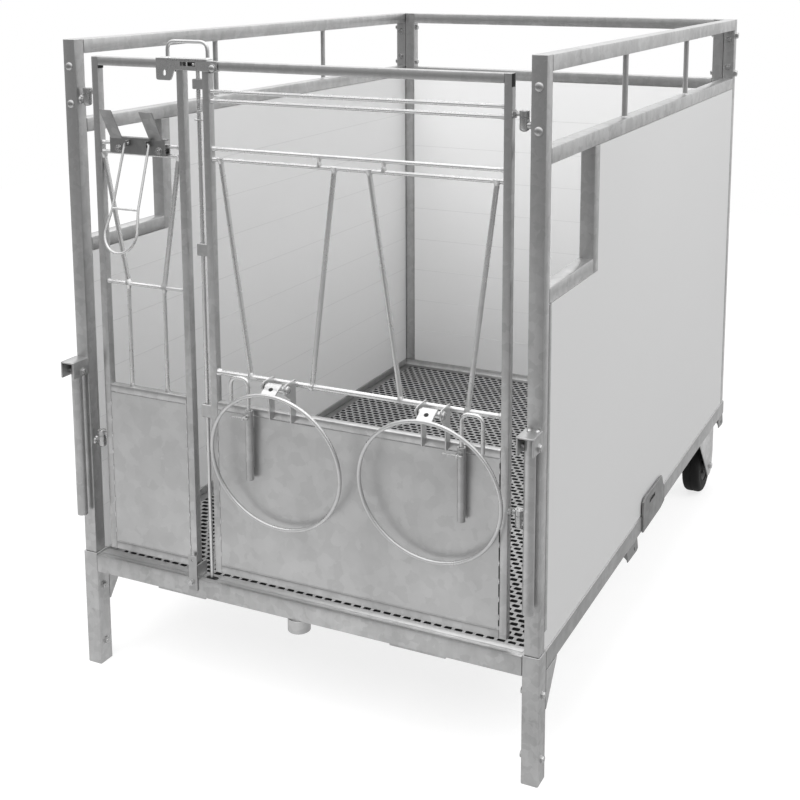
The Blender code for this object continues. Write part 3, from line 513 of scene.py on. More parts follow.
def cutOut(target, cutters):
    # Takes the cutters' shapes out of a piece, and bakes the result.
    mesh = meshOf("cutter", merge(*cutters))
    cutter = bpy.data.objects.new("cutter", mesh)
    bpy.context.scene.collection.objects.link(cutter)
    step = target.modifiers.new("cut", "BOOLEAN")
    step.operation = "DIFFERENCE"
    step.solver = "EXACT"
    step.use_self = True
    step.object = cutter
    graph = bpy.context.evaluated_depsgraph_get()
    baked = bpy.data.meshes.new_from_object(target.evaluated_get(graph))
    old = target.data
    target.modifiers.clear()
    target.data = baked
    baked.name = old.name
    bpy.data.meshes.remove(old)
    bpy.data.objects.remove(cutter, do_unlink=True)


grating = {"pitchX": 0.0224, "pitchY": 0.0172, "slot": (0.0158, 0.0114), "cut": 0.0022, "top": -0.0200,
           "bottom": -0.0290, "x": 0.4919, "y": (0.0331, 1.5269), "margin": 0.0217}


def floorGrating():
    # A plate of cells, each with an eight-sided slot; every other row is moved by half a cell.
    wide = grating["x"]
    front = grating["y"][0] + grating["margin"]
    columns = round(2 * wide / grating["pitchX"])
    rows = round((grating["y"][1] - front) / grating["pitchY"])
    stepX, stepY = 2 * wide / columns, (grating["y"][1] - front) / rows
    halfX, halfY = grating["slot"][0] / 2, grating["slot"][1] / 2
    cut = grating["cut"]
    side, end = halfY - cut, halfX - cut
    hole = np.array([(halfX, -side), (halfX, side), (end, halfY), (-end, halfY), (-halfX, side),
                     (-halfX, -side), (-end, -halfY), (end, -halfY)])
    edge = np.array([(1, -1), (1, 1), (-1, 1), (-1, -1)]) * (stepX / 2, stepY / 2)
    levels = (grating["top"], grating["bottom"])
    cell = np.vstack([np.column_stack([part, np.full(len(part), z)])
                      for z in levels for part in (hole, edge)])
    top = [(8, 9, 1, 0), (9, 2, 1), (9, 10, 3, 2), (10, 4, 3), (10, 11, 5, 4), (11, 6, 5), (11, 8, 7, 6),
           (8, 0, 7)]
    faces = top + [tuple(12 + i for i in reversed(face)) for face in top]
    faces += [(i, (i + 1) % 8, 12 + (i + 1) % 8, 12 + i) for i in range(8)]
    shapes = [tube((-wide, wide), (grating["y"][0], front), levels, 0.0001, 0.0001)]
    for row in range(rows):
        shifted = (row + 1) % 2
        y = front + (row + 0.5) * stepY
        for column in range(columns - shifted):
            shapes.append((cell + (-wide + (column + 0.5 + 0.5 * shifted) * stepX, y, 0.0), faces))
        if shifted:
            for s in (-1, 1):
                shapes.append(tube((s * wide, s * (wide - stepX / 2)), (y - stepY / 2, y + stepY / 2), levels,
                                   0.0001, 0.0001))
    made = piece("floorGrating", shapes, "floor", ["floor_grating"])
    # The slots' walls are painted dark as the shade inside the holes: all upright faces but the plate's own
    # rim.
    made.data.materials.append(looks["dark"])
    for face in made.data.polygons:
        inside = abs(face.center.x) < wide - 0.001 and face.center.y - place[1] > front - 0.001
        if abs(face.normal.z) < 0.5 and inside:
            face.material_index = 1
    print("grating of", rows, "rows and", len(made.data.polygons), "faces")


leg = {"hole": (0.510, -0.1385), "boltY": 0.017, "bolts": ((-0.081, "upper"), (-0.212, "lower")),
       "gussetReach": 0.098, "gussetTip": (0.0425, -0.1165), "gussetFoot": (0.0395, -0.1215)}


def legs():
    low, inn, out = -place[2], pen["beamIn"], pen["beamOut"]
    front, back, top = pen["baseFront"], pen["legBack"], pen["beamBottom"] - gap
    start = back + gap
    for side, name, turn in eachSide:
        parts = [tube((inn, out), (front, back), (low, -0.0001)),
                 turned(1, leg["hole"], [(front - 0.0003, 0.0062), (front - 0.0006, 0.0046)], 20)]
        piece("frontLeg" + name, parts, "tube", ["front_leg_" + side], turn=turn)
        outline = [(start, top), (leg["gussetReach"], top), leg["gussetTip"], leg["gussetFoot"],
                   (start, leg["gussetFoot"][1])]
        gusset = [plate(0, outline, x, x + 0.003) for x in (inn, out - 0.003)]
        gusset.append(tube((inn + 0.0005, out - 0.0005), (start, 0.092), (top - 0.003, top), 0.0005))
        piece("legGusset" + name, gusset, "tube", ["leg_gussets_" + side], turn=turn)
        for z, spot in leg["bolts"]:
            at = (leg["boltY"], z)
            bolts = [hexBolt(0, at, out, 1, 0.0068, 0.0040), hexBolt(0, at, inn, -1, 0.0072, 0.0060),
                     turned(0, at, [(inn - 0.0078, 0.0036), (inn - 0.0005, 0.004), (out, 0.004)])]
            fastener(f"legBolt{spot.title()}{name}", bolts, [f"leg_bolt_{spot}_{side}"], turn=turn)


socket = {"centre": (0.0035, 0.017), "low": -0.0705, "outer": 0.0235, "inner": 0.0195}


def frontSocket():
    top = pen["beamBottom"] - gap
    shape = pipe(2, socket["centre"], socket["low"], top, socket["outer"], socket["inner"])
    piece("frontSocket", shape, "tube", ["front_socket"])


wheel = {"x": 0.470, "y": 1.490, "z": -0.180, "radius": 0.080, "rim": 0.0463, "half": 0.025,
         "shoulder": 0.012, "forkY": (1.336, 1.527), "forkX": (0.505, 0.432), "ribs": 6}


def wheels():
    centre, x, half, radius = (wheel["y"], wheel["z"]), wheel["x"], wheel["half"], wheel["radius"]
    top, (start, end) = pen["beamBottom"] - gap, wheel["forkY"]
    angles = np.radians(np.linspace(205, 345, 15))
    tip = [(centre[0] + 0.029 * math.cos(a), centre[1] + 0.029 * math.sin(a)) for a in angles]
    outline = [(start, top)] + tip + [(end, -0.150), (end, top)]
    # Outlines of height along the axle and radius: one half, then the same mirrored; the shoulder is an arc.
    bend = wheel["shoulder"]
    tread = [(x - half, wheel["rim"]), (x - half, 0.058), (x - half + 0.0006, 0.060), (x - half, 0.062),
             (x - half, radius - bend)]
    tread += [(x - half + bend * (1 - math.cos(t)), radius - bend + bend * math.sin(t))
              for t in np.radians(np.linspace(0, 90, 6))]
    tread += [(x - 0.0025, radius), (x - 0.0018, radius - 0.0015)]
    tread += [(2 * x - a, r) for a, r in reversed(tread)]
    disc = [(x - 0.033, 0.0115), (x - 0.033 + 0.0006, 0.0120), (x - 0.024, 0.0135), (x - 0.012, 0.018),
            (x - 0.012, 0.034), (x - 0.021, 0.0385), (x - 0.0225, 0.0405), (x - 0.0225, 0.0455),
            (x - 0.0215, 0.0460)]
    disc += [(2 * x - a, r) for a, r in reversed(disc)]
    disc += [(x + 0.033, 0.0063), (x - 0.033, 0.0063)]
    for side, name, turn in eachSide:
        body = "wheel_" + side
        piece("tyre" + name, hollow(0, centre, tread, 48), "rubber", ["tyre_" + side], body, turn)
        hub = [hollow(0, centre, disc, 40)]
        for k in range(wheel["ribs"]):
            t = math.radians(360 / wheel["ribs"] * k)
            way = np.array((math.cos(t), math.sin(t)))
            path = [(x, centre[0] + r * way[0], centre[1] + r * way[1]) for r in (0.016, 0.037)]
            hub.append(sweep(path, roundedBox(0.034, 0.004, 0.0008), up=(0, -math.sin(t), math.cos(t))))
        piece("hub" + name, hub, "hub", ["hub_" + side], body, turn)
        fork = [plate(0, outline, a, a + 0.003, [(*centre, 0.0064)]) for a in wheel["forkX"]]
        fork += [tube((0.4325, 0.5075), (start, end), (top - 0.004, top), 0.0015),
                 weldBead((0.5085, start + 0.006, top - 0.0006), (0.5085, end - 0.005, top - 0.0006), 0.0014)]
        piece("wheelFork" + name, fork, "tube", ["wheel_fork_" + side], turn=turn)
        axle = [hexBolt(0, centre, 0.508, 1, 0.0098, 0.0058, shank=0.006),
                hexBolt(0, centre, 0.432, -1, 0.0098, 0.0075, shank=0.006),
                turned(0, centre, [(0.4225, 0.0052), (0.424, 0.006), (0.508, 0.006)])]
        fastener("wheelAxle" + name, axle, ["wheel_axle_" + side], turn=turn)


# Walls.

wall = {"barX": 0.510, "bar": 0.006, "screws": (1.055, 0.978), "rearX": 0.465,
        "rearBolts": ((1.066, "upper"), (0.960, "lower"))}


def sideFrames():
    half, t, length = pen["halfWidth"], pen["tube"], pen["length"]
    foot, low, high = pen["beamTop"] + gap, pen["midRail"][1], pen["topRail"][0]
    x, barX = (half - t, half), wall["barX"]
    for side, name, turn in eachSide:
        parts = [tube(x, (0, t), (gap, pen["topRail"][1])),
                 tube(x, (length - t, length), (foot, pen["topRail"][1])),
                 tube(x, (t, length - t), pen["topRail"]), tube(x, (t, length - t), pen["midRail"]),
                 tube(x, pen["windowY"], (pen["windowZ"][0], pen["midRail"][0])),
                 tube(x, (t, pen["windowY"][0]), pen["windowZ"])]
        for y in pen["barsY"]:
            parts += [rod([(barX, y, low - 0.003), (barX, y, high + 0.003)], wall["bar"]),
                      turned(2, (barX, y), [(low - 0.001, 0.0086), (low + 0.0025, 0.0062)]),
                      turned(2, (barX, y), [(high + 0.001, 0.0086), (high - 0.0025, 0.0062)])]
        piece("sideFrame" + name, parts, "tube", ["side_frame_" + side], turn=turn)
        bolts = []
        for z in wall["screws"]:
            for face, way in ((0.0, -1), (length, 1)):
                bolts += [hexBolt(1, (barX, z), face, way, 0.0085, 0.0034, 1.02, dome=True),
                          hexBolt(1, (barX, z), face - way * t, -way, 0.0072, 0.0045)]
        fastener("postScrews" + name, bolts, turn=turn)
        inner = wall["rearX"]
        for z, spot in wall["rearBolts"]:
            at = (length - t / 2, z)
            bolt = [hexBolt(0, at, half, 1, 0.0090, 0.0068), hexBolt(0, at, inner, -1, 0.0072, 0.0055),
                    turned(0, at, [(inner - 0.0065, 0.0036), (inner, 0.004), (half, 0.004)])]
            fastener(f"rearBolt{spot.title()}{name}", bolt, [f"rear_bolt_{spot}_{side}"], turn=turn)


def rearFrame():
    half, t, x = pen["halfWidth"], pen["tube"], wall["rearX"]
    y = (pen["length"] - t, pen["length"])
    stand = (pen["beamTop"] + gap, pen["topRail"][1])
    parts = [tube((s * x, s * (half - t - gap)), y, stand) for s in (-1, 1)]
    parts += [tube((-x, x), y, pen["topRail"]), tube((-x, x), y, pen["rearMid"])]
    piece("rearFrame", parts, "tube", ["rear_frame"])


planks = {"height": 0.1000, "groove": 0.0016, "inset": 0.0005, "channel": ((0.0303, 0.042), 0.0370)}


def panelShape(us, vs, keep, inner, outer, axis):
    # A wall made of the grid cells that are kept, from the inner to the outer face, as one closed solid.
    wide, tall = len(us), len(vs)
    verts = [onAxis(axis, (a, b), h) for h in (inner, outer) for b in vs for a in us]
    layer = wide * tall
    kept = {(i, j) for i in range(wide - 1) for j in range(tall - 1) if keep(i, j)}
    faces = []
    for i, j in sorted(kept):
        ring = [j * wide + i, j * wide + i + 1, (j + 1) * wide + i + 1, (j + 1) * wide + i]
        faces += [tuple(ring), tuple(layer + k for k in reversed(ring))]
        for k, (di, dj) in enumerate(((0, -1), (1, 0), (0, 1), (-1, 0))):
            if (i + di, j + dj) not in kept:
                a, b = ring[k], ring[(k + 1) % 4]
                faces.append((a, b, layer + b, layer + a))
    return np.array(verts), faces


def panels():
    half, t, length = pen["halfWidth"], pen["tube"], pen["length"]
    foot = pen["beamTop"] + gap
    ys = (t + gap, pen["legBack"] + gap, pen["windowY"][1] + gap, length - t - gap)
    zs = (foot, gap, pen["windowZ"][0] - gap, pen["midRail"][0] - gap)
    inner, outer = half - t + planks["inset"], half - planks["inset"]

    def keep(i, j):
        return not (i == 0 and j == 0) and not (i < 2 and j == 2)

    def seam(face, z):
        return (face - 0.0002, face + 0.0008), (z - planks["groove"] / 2, z + planks["groove"] / 2)

    joints = np.arange(foot + planks["height"], pen["midRail"][0] - 0.05, planks["height"])
    for side, name, turn in eachSide:
        shape = panelShape(ys, zs, keep, inner, outer, 0)
        piece("sidePanel" + name, shape, "panel", ["side_panel_" + side], turn=turn)
        seams = []
        for z in joints:
            start = ys[2] if z > zs[2] - 0.01 else ys[0]
            across, tall = seam(inner, z)
            seams.append(tube(across, (start + 0.001, ys[3] - 0.001), tall, 0.0001, 0.0001))
        piece("plankSeams" + name, seams, "seam", turn=turn)
        deep, low = planks["channel"]
        channel = tube((outer - 0.0004, half - 0.0001), deep, (low, zs[2]), 0.0002, 0.0001)
        piece("panelChannel" + name, channel, "tube", turn=turn)
    x, low = wall["rearX"] - gap, length - t + planks["inset"]
    rear = tube((-x, x), (low, length - planks["inset"]), (foot, pen["rearMid"][0] - gap), 0.0003, 0.0002)
    piece("rearPanel", rear, "panel", ["rear_panel"])
    seams = [tube((-x + 0.001, x - 0.001), *seam(low, z), 0.0001, 0.0001) for z in joints]
    piece("plankSeamsRear", seams, "seam")


# Handles and hinges.

handle = {"x": 0.510, "pivot": (-0.020, 0.415), "z": (0.095, 0.4295), "outer": 0.011, "inner": 0.009,
          "capX": (0.493, 0.527), "capY": (-0.048, -0.0003), "welds": (0.5040, 0.5200)}


def handles():
    pivot, (left, right), deep = handle["pivot"], handle["capX"], handle["capY"]
    for side, name, turn in eachSide:
        bar = pipe(2, (handle["x"], pivot[0]), *handle["z"], handle["outer"], handle["inner"])
        piece("handle" + name, bar, "tube", ["handle_" + side], "handle_" + side, turn=turn)
        cap = [tube((left, right), deep, (0.4365, 0.440), 0.0012),
               tube((left, left + 0.0035), deep, (0.405, 0.4385), 0.0010),
               tube((right - 0.0035, right), deep, (0.405, 0.4385), 0.0010)]
        piece("handleBracket" + name, cap, "tube", ["handle_bracket_" + side], turn=turn)
        if side == "right":
            lumps = [weldBead((x, -0.016, 0.4402), (x, -0.004, 0.4402), 0.0046) for x in handle["welds"]]
            piece("bracketWelds", lumps, "strip")
        middle = handle["x"] if side == "right" else -handle["x"]
        far, near = middle + 0.017, middle - 0.017
        bolt = [hexBolt(0, pivot, far, 1, 0.0068, 0.0040), hexBolt(0, pivot, near, -1, 0.0068, 0.0045),
                turned(0, pivot, [(near, 0.004), (far, 0.004)])]
        fastener("handleBolt" + name, bolt, ["handle_bolt_" + side])


hinge = {"x": 0.4785, "y": 0.015, "z": (0.2659, 1.0006), "foot": 0.009, "pin": 0.005, "arm": 0.0064}


def pintles():
    at = (hinge["x"], hinge["y"])
    for leafName, turn in (("door", mirrored), ("gate", None)):
        for z, spot in zip(hinge["z"], ("lower", "upper")):
            t = np.radians(np.linspace(0, 85, 5))
            pin = [(z - 0.0265 + 0.006 * (1 - math.sin(a)), hinge["foot"] * math.cos(a)) for a in t[::-1]]
            pin += [(z - 0.0012, hinge["foot"]), (z - 0.0010, 0.0088), (z - 0.0010, hinge["pin"]),
                    (z + 0.0105, hinge["pin"]), (z + 0.0115, 0.0042)]
            arm = z - 0.0145
            parts = [turned(2, at, pin), rod([(*at, arm), (0.4947, hinge["y"], arm)], hinge["arm"]),
                     turned(0, (hinge["y"], arm), [(0.4947, 0.0092), (0.4920, 0.0068)])]
            fastener(f"{leafName}Pintle{spot.title()}", parts, [f"{leafName}_pintle_{spot}"], turn=turn)


def hingeEyes(edge):
    # Eyes of a leaf hung on the right: a ring, a threaded stem and a nut against the stile.
    parts = []
    for z in hinge["z"]:
        stem = z + 0.0042
        nut = [(edge - 0.001, 0.0085), (edge + 0.0012, 0.0085), (edge + 0.0014, -0.0075),
               (edge + 0.0045, -0.0075), (edge + 0.0052, 0.0060)]
        parts += [pipe(2, (hinge["x"], hinge["y"]), z - 0.0004, z + 0.0108, 0.0092, 0.0053),
                  rod([(edge - 0.003, hinge["y"], stem), (hinge["x"] - 0.0065, hinge["y"], stem)], 0.0036),
                  turned(0, (hinge["y"], stem), nut)]
    return parts


keeper = {"strap": ((-0.249, -0.228), (-0.029, 0.047)), "y": (-0.0058, -0.0028),
          "stop": ((-0.231, -0.228), (-0.0050, 0.031), (-0.0027, 0.027)), "hole": (-0.240, 0.037, 0.0024),
          "bolt": (-0.2426, -0.0120)}


def doorKeeper():
    parts = [plate(1, corners(*keeper["strap"]), *keeper["y"], [keeper["hole"]], 0.0006),
             tube(*keeper["stop"], 0.0006)]
    piece("doorKeeper", parts, "sill", ["door_keeper"])
    fastener("keeperBolt", [hexBolt(1, keeper["bolt"], -0.0056, -1, 0.0062, 0.0040)])


# Leaves.

leafY = (0.006, 0.024)
rodY = 0.015
leaf = {"stile": 0.016, "rail": 0.018, "foot": 0.0165, "sheetTop": 0.387, "corner": 0.0022, "thin": 0.0040,
        "slanted": 0.0050}
gate = {"x": (-0.190, 0.4585), "z": (0.0175, 1.076), "lower": 0.448,
        "pairs": (1.0170, 0.9985, 0.9040, 0.8830),
        "slanted": (((-0.1565, 0.884), (-0.0965, 0.449)), ((0.0985, 0.884), (0.0430, 0.449)),
                    ((0.1720, 0.884), (0.2362, 0.449)), ((0.4285, 0.884), (0.3735, 0.449))),
        "links": (0.066, 0.2025), "lowerRod": 0.0055, "linkRod": 0.0035,
        "guides": ((0.3500, 0.3770, 0.0047), (0.6870, 0.7120, 0.0047), (1.0205, 1.0405, 0.0062))}
door = {"x": (-0.459, -0.2345), "z": (0.0178, 1.077), "rods": (0.9016, 0.8825, 0.6087),
        "slanted": (((-0.4420, 0.878), (-0.3915, 0.609)), ((-0.2560, 0.883), (-0.3020, 0.609))),
        "upright": (-0.3920, -0.3020)}
ring = {"radius": 0.145, "bar": 0.004, "pivot": (-0.022, 0.447), "top": (-0.0500, 0.4400), "lean": 7.4,
        "centres": ((-0.0175, "left"), (0.3146, "right")), "half": 0.0245,
        "lug": ((0.0080, 0.3740), (-0.0080, 0.3740), (-0.0100, 0.4250), (-0.0270, 0.4370), (-0.0310, 0.4420),
                (-0.0322, 0.4490), (-0.0300, 0.4565), (-0.0250, 0.4590), (0.0110, 0.4600), (0.0110, 0.3880)),
        "bracket": ((-0.0530, 0.4395), (-0.0500, 0.4442), (-0.0290, 0.4560), (-0.0220, 0.4570),
                    (-0.0170, 0.4520), (-0.0190, 0.4500), (-0.0225, 0.4530), (-0.0285, 0.4525),
                    (-0.0480, 0.4410), (-0.0505, 0.4375))}
dropRod = {"x": -0.2045, "z": (-0.0025, 1.0720), "radius": 0.0040, "washer": 0.9580, "pinZ": 1.0695,
           "wire": 0.0007, "coil": 0.0046, "turns": 13, "coilZ": (0.9612, 0.0560)}


def leafTubes(x, z):
    stile, edge, top = leaf["stile"], leaf["corner"], leaf["sheetTop"]
    inside = (x[0] + stile, x[1] - stile)
    return [tube((x[0], x[0] + stile), leafY, z, edge), tube((x[1] - stile, x[1]), leafY, z, edge),
            tube(inside, leafY, (z[1] - leaf["rail"], z[1]), edge),
            tube(inside, leafY, (z[0], z[0] + leaf["foot"]), edge),
            tube(inside, leafY, (top - stile, top), edge)]


def flatRod(start, end, radius):
    # A rod in the leaf's middle plane with a weld collar at both ends.
    a, b = np.array((start[0], rodY, start[1])), np.array((end[0], rodY, end[1]))
    way = (b - a) / np.linalg.norm(b - a)
    collars = []
    for spot, out in ((a, way), (b, -way)):
        path = [spot - out * 0.002, spot + out * 0.002, spot + out * 0.006, spot + out * 0.009]
        collars.append(sweep(path, circle(radius, 12), scales=np.array((1.55, 1.45, 1.2, 0.98))))
    return merge(rod([a, b], radius), *collars)


def leafBars(which, levels):
    # Level rods between the stiles, then the slanted ones.
    left, right = which["x"][0] + leaf["stile"] - 0.001, which["x"][1] - leaf["stile"] + 0.001
    level = [flatRod((left, z), (right, z), radius) for z, radius in levels]
    return level, [flatRod(a, b, leaf["slanted"]) for a, b in which["slanted"]]


def gateFrame():
    parts, lower = leafTubes(gate["x"], gate["z"]), gate["lower"]
    level, slanted = leafBars(gate, [(z, leaf["thin"]) for z in gate["pairs"]] + [(lower, gate["lowerRod"])])
    links = [flatRod((x, 0.886), (x, 0.902), gate["linkRod"]) for x in gate["links"]]
    sleeve = [(0.0380, 0.0075), (0.0390, 0.0085), (0.0460, 0.0085), (0.0470, 0.0075)]
    piece("gateRods", level + links + slanted + [turned(0, (rodY, lower), sleeve)], "rod", body="gate")
    for low, high, hole in gate["guides"]:
        outline = corners((-0.2125, -0.1880), (0.0065, 0.0235))
        parts.append(plate(2, outline, low, high, [(dropRod["x"], rodY, hole)], 0.0012))
    lugs = [plate(0, ring["lug"], x - 0.0015, x + 0.0015, [(*ring["pivot"], 0.0044)])
            for centre, side in ring["centres"] for x in (centre - ring["half"], centre + ring["half"])]
    piece("ringLugs", lugs, "strip", body="gate")
    piece("gateHinges", hingeEyes(gate["x"][1]), "zinc", body="gate")
    piece("gateFrame", parts, "tube", ["gate_frame"], "gate")
    for centre, side in ring["centres"]:
        low, high = centre - 0.026, centre + 0.026
        bolt = [hexBolt(0, ring["pivot"], low, -1, 0.0062, 0.0036),
                hexBolt(0, ring["pivot"], high, 1, 0.0085, 0.0048, dome=True),
                turned(0, ring["pivot"], [(low, 0.004), (high, 0.004)])]
        fastener("ringBolt" + side.title(), bolt, ["ring_bolt_" + side], "gate")


def doorFrame():
    parts = leafTubes(door["x"], door["z"])
    level, slanted = leafBars(door, [(z, leaf["thin"]) for z in door["rods"]])
    upright = [flatRod((x, 0.607), (x, 0.386), leaf["thin"]) for x in door["upright"]]
    piece("doorRods", level + slanted + upright, "rod", body="door")
    piece("doorHinges", [mirrored(eye) for eye in hingeEyes(-door["x"][0])], "zinc", body="door")
    piece("doorFrame", parts, "tube", ["door_frame"], "door")


sheet = {"rise": 0.0018, "rim": 0.0125, "corner": 0.012, "slope": 0.060, "thick": 0.0012, "stitches": 9}


def leafSheet(name, x, z, body, replaced):
    # A sheet whose middle stands forward of its edges by a slow smooth rise: the depth s inside a rounded
    # rectangle, as a share of the slope's width, gives a rise of 3 s^2 - 2 s^3.
    x = (x[0] + leaf["stile"] + gap, x[1] - leaf["stile"] - gap)
    z = (z[0] + leaf["foot"] + gap, leaf["sheetTop"] - leaf["stile"] - gap)
    front, rim, radius = leafY[0] + 0.0004, sheet["rim"], sheet["corner"]

    def spaced(low, high, inner):
        fine = np.concatenate([[0], rim + np.array((-2, -1, 0, 1, 2, 3, 4.5, 6, 9, 12, 15)) * 0.001])
        return np.concatenate([low + fine, np.linspace(low + 0.03, high - 0.03, inner), (high - fine)[::-1]])

    gridX, gridZ = np.meshgrid(spaced(*x, 24), spaced(*z, 14))
    dx = np.minimum(gridX - x[0], x[1] - gridX) - rim
    dz = np.minimum(gridZ - z[0], z[1] - gridZ) - rim
    depth = radius - np.hypot(np.minimum(dx - radius, 0), np.minimum(dz - radius, 0))
    depth = np.where((dx > radius) & (dz > radius), np.minimum(dx, dz), depth)
    step = np.clip(depth / sheet["slope"], 0, 1)
    faceY = front - sheet["rise"] * step * step * (3 - 2 * step)
    rows, columns = gridX.shape
    verts = np.vstack([np.stack([gridX, faceY + deep, gridZ], -1).reshape(-1, 3)
                       for deep in (0.0, sheet["thick"])])
    layer = rows * columns
    r, c = np.meshgrid(np.arange(rows - 1), np.arange(columns - 1), indexing="ij")
    a = (r * columns + c).ravel()
    quads = np.stack([a, a + 1, a + columns + 1, a + columns], 1)
    loop = np.concatenate([np.arange(columns), np.arange(1, rows) * columns + columns - 1,
                           (rows - 1) * columns + np.arange(columns - 2, -1, -1),
                           np.arange(rows - 2, 0, -1) * columns])
    nextLoop = np.roll(loop, -1)
    border = np.stack([loop, nextLoop, nextLoop + layer, loop + layer], 1)
    faces = [tuple(q) for q in np.vstack([quads, quads[:, ::-1] + layer, border]).tolist()]
    piece(name, (verts, faces), "sheet", [replaced], body, smooth=60.0)
    across, deep = (x[0] + 0.006, x[1] - 0.004), (front - 0.0012, front + 0.0008)
    lips = [tube(across, deep, (h - 0.0007, h + 0.0007), 0.0003, 0.0003)
            for h in (z[0] + 0.0012, z[1] - 0.0012)]
    piece(name + "Lips", lips, "strip", body=body)
    stitches = []
    for h in np.linspace(z[0] + 0.02, z[1] - 0.03, sheet["stitches"]):
        stitches += [weldBead((edge, front - 0.0004, h), (edge, front - 0.0004, h + 0.012), 0.0011)
                     for edge in x]
    piece(name + "Stitches", stitches, "rod", body=body)
    if body == "gate":
        # A dark strip painted as the shade in the slit between the sheet and the right stile.
        slit = tube((x[1] - 0.0010, x[1] + 0.0010), (front - 0.0006, front + 0.0010),
                    (z[0] + 0.008, z[1] - 0.008), 0.0002, 0.0002)
        piece(name + "Slit", slit, "dark", body=body)


def bucketRings():
    # Each ring is a circle hung from its top, the lower half leaning toward the sheet.
    lean, radius, (topY, topZ) = math.radians(ring["lean"]), ring["radius"], ring["top"]
    t = np.linspace(0, 2 * np.pi, 96, endpoint=False)
    down = radius * (1 - np.cos(t))
    for centre, side in ring["centres"]:
        body = "ring_" + side
        path = np.stack([centre + radius * np.sin(t), topY + down * math.sin(lean),
                         topZ - down * math.cos(lean)], 1)
        parts = [sweep(path, circle(ring["bar"], 16), closed=True, up=(0, 1, 0)),
                 plate(0, ring["bracket"], centre - 0.016, centre + 0.016, bevel=0.0005),
                 pipe(0, ring["pivot"], centre - 0.0215, centre + 0.0215, 0.0070, 0.0044)]
        piece("bucketRing" + side.title(), parts, "ring", ["bucket_ring_" + side], body)
        # The hole in the bracket's sloping plate, drawn as a dark disc of painted shade.
        spot, up = np.array((centre, -0.0395, 0.4501)), np.array((0.0, -0.490, 0.872))
        eye = sweep([spot - up * 0.0008, spot + up * 0.0004], circle(0.0046, 24), up=(1.0, 0.0, 0.0))
        piece("ringEye" + side.title(), eye, "dark", body=body)


# Each hook: its x, the side, how far its top reaches across, and the height of its end.
hook = {"sides": ((-0.0898, "left", -0.0405, 0.3960), (0.3714, "right", 0.0425, 0.3790)), "y": -0.0080,
        "tube": (0.2420, 0.3870, 0.0080, 0.0052), "rod": 0.0040, "foot": 0.2480, "top": 0.4515, "bend": 0.017,
        "tabs": (0.250, 0.335), "clampZ": 0.3765, "toggleY": -0.0285}


def hooksAndGuides():
    y, clampZ, top = hook["y"], hook["clampZ"], hook["top"]
    thread = [(-0.0123, 0.0030), (-0.0130, 0.0034), (-0.0190, 0.0034), (-0.0191, 0.0056), (-0.0222, 0.0056),
              (-0.0226, 0.0050), (-0.0226, 0.0036), (-0.0325, 0.0036), (-0.0330, 0.0030)]
    for x, side, reach, end in hook["sides"]:
        name = side.title()
        guide = [pipe(2, (x, y), *hook["tube"])]
        guide += [tube((x - 0.003, x + 0.003), (-0.0010, 0.0040), (z, z + 0.012), 0.001)
                  for z in hook["tabs"]]
        guide.append(turned(1, (x, clampZ), [(-0.0150, 0.0062), (-0.0185, 0.0058), (-0.0190, 0.0052)], 20))
        piece("guideTube" + name, guide, "tube", ["guide_tube_" + side], "gate")
        path = [(x, y, hook["foot"]), (x, y, top), (x + reach, y, top), (x + reach, y, end)]
        piece("bucketHook" + name, rod(path, hook["rod"], bend=hook["bend"]), "rod", ["bucket_hook_" + side],
              "hook_" + side)
        toggle = [(x - 0.030, hook["toggleY"], clampZ), (x + 0.010, hook["toggleY"], clampZ)]
        screw = [turned(1, (x, clampZ), thread), rod(toggle, 0.0022)]
        fastener("clampScrew" + name, screw, ["clamp_screw_" + side], "clamp_" + side)


latch = {
    "y": (0.0015, 0.0045), "x": (-0.2950, -0.1740), "bolt": (-0.162, 1.063), "grip": 0.0038,
    "outline": ((-0.2950, 1.0395), (-0.2935, 1.0370), (-0.2900, 1.0360), (-0.2630, 1.0360), (-0.2595, 1.0375),
                (-0.2565, 1.0430), (-0.2530, 1.0530), (-0.2490, 1.0570), (-0.1560, 1.0560), (-0.1525, 1.0580),
                (-0.1515, 1.0620), (-0.1515, 1.0770), (-0.2950, 1.0770)),
    "slot": ((-0.2365, -0.2012), (1.0655, 1.0735)), "eye": (-0.2745, (1.0535, 1.0485), 0.0034),
    "gripX": (-0.2730, -0.1785), "gripY": 0.012, "gripTop": 1.1126, "gripBend": 0.018,
}


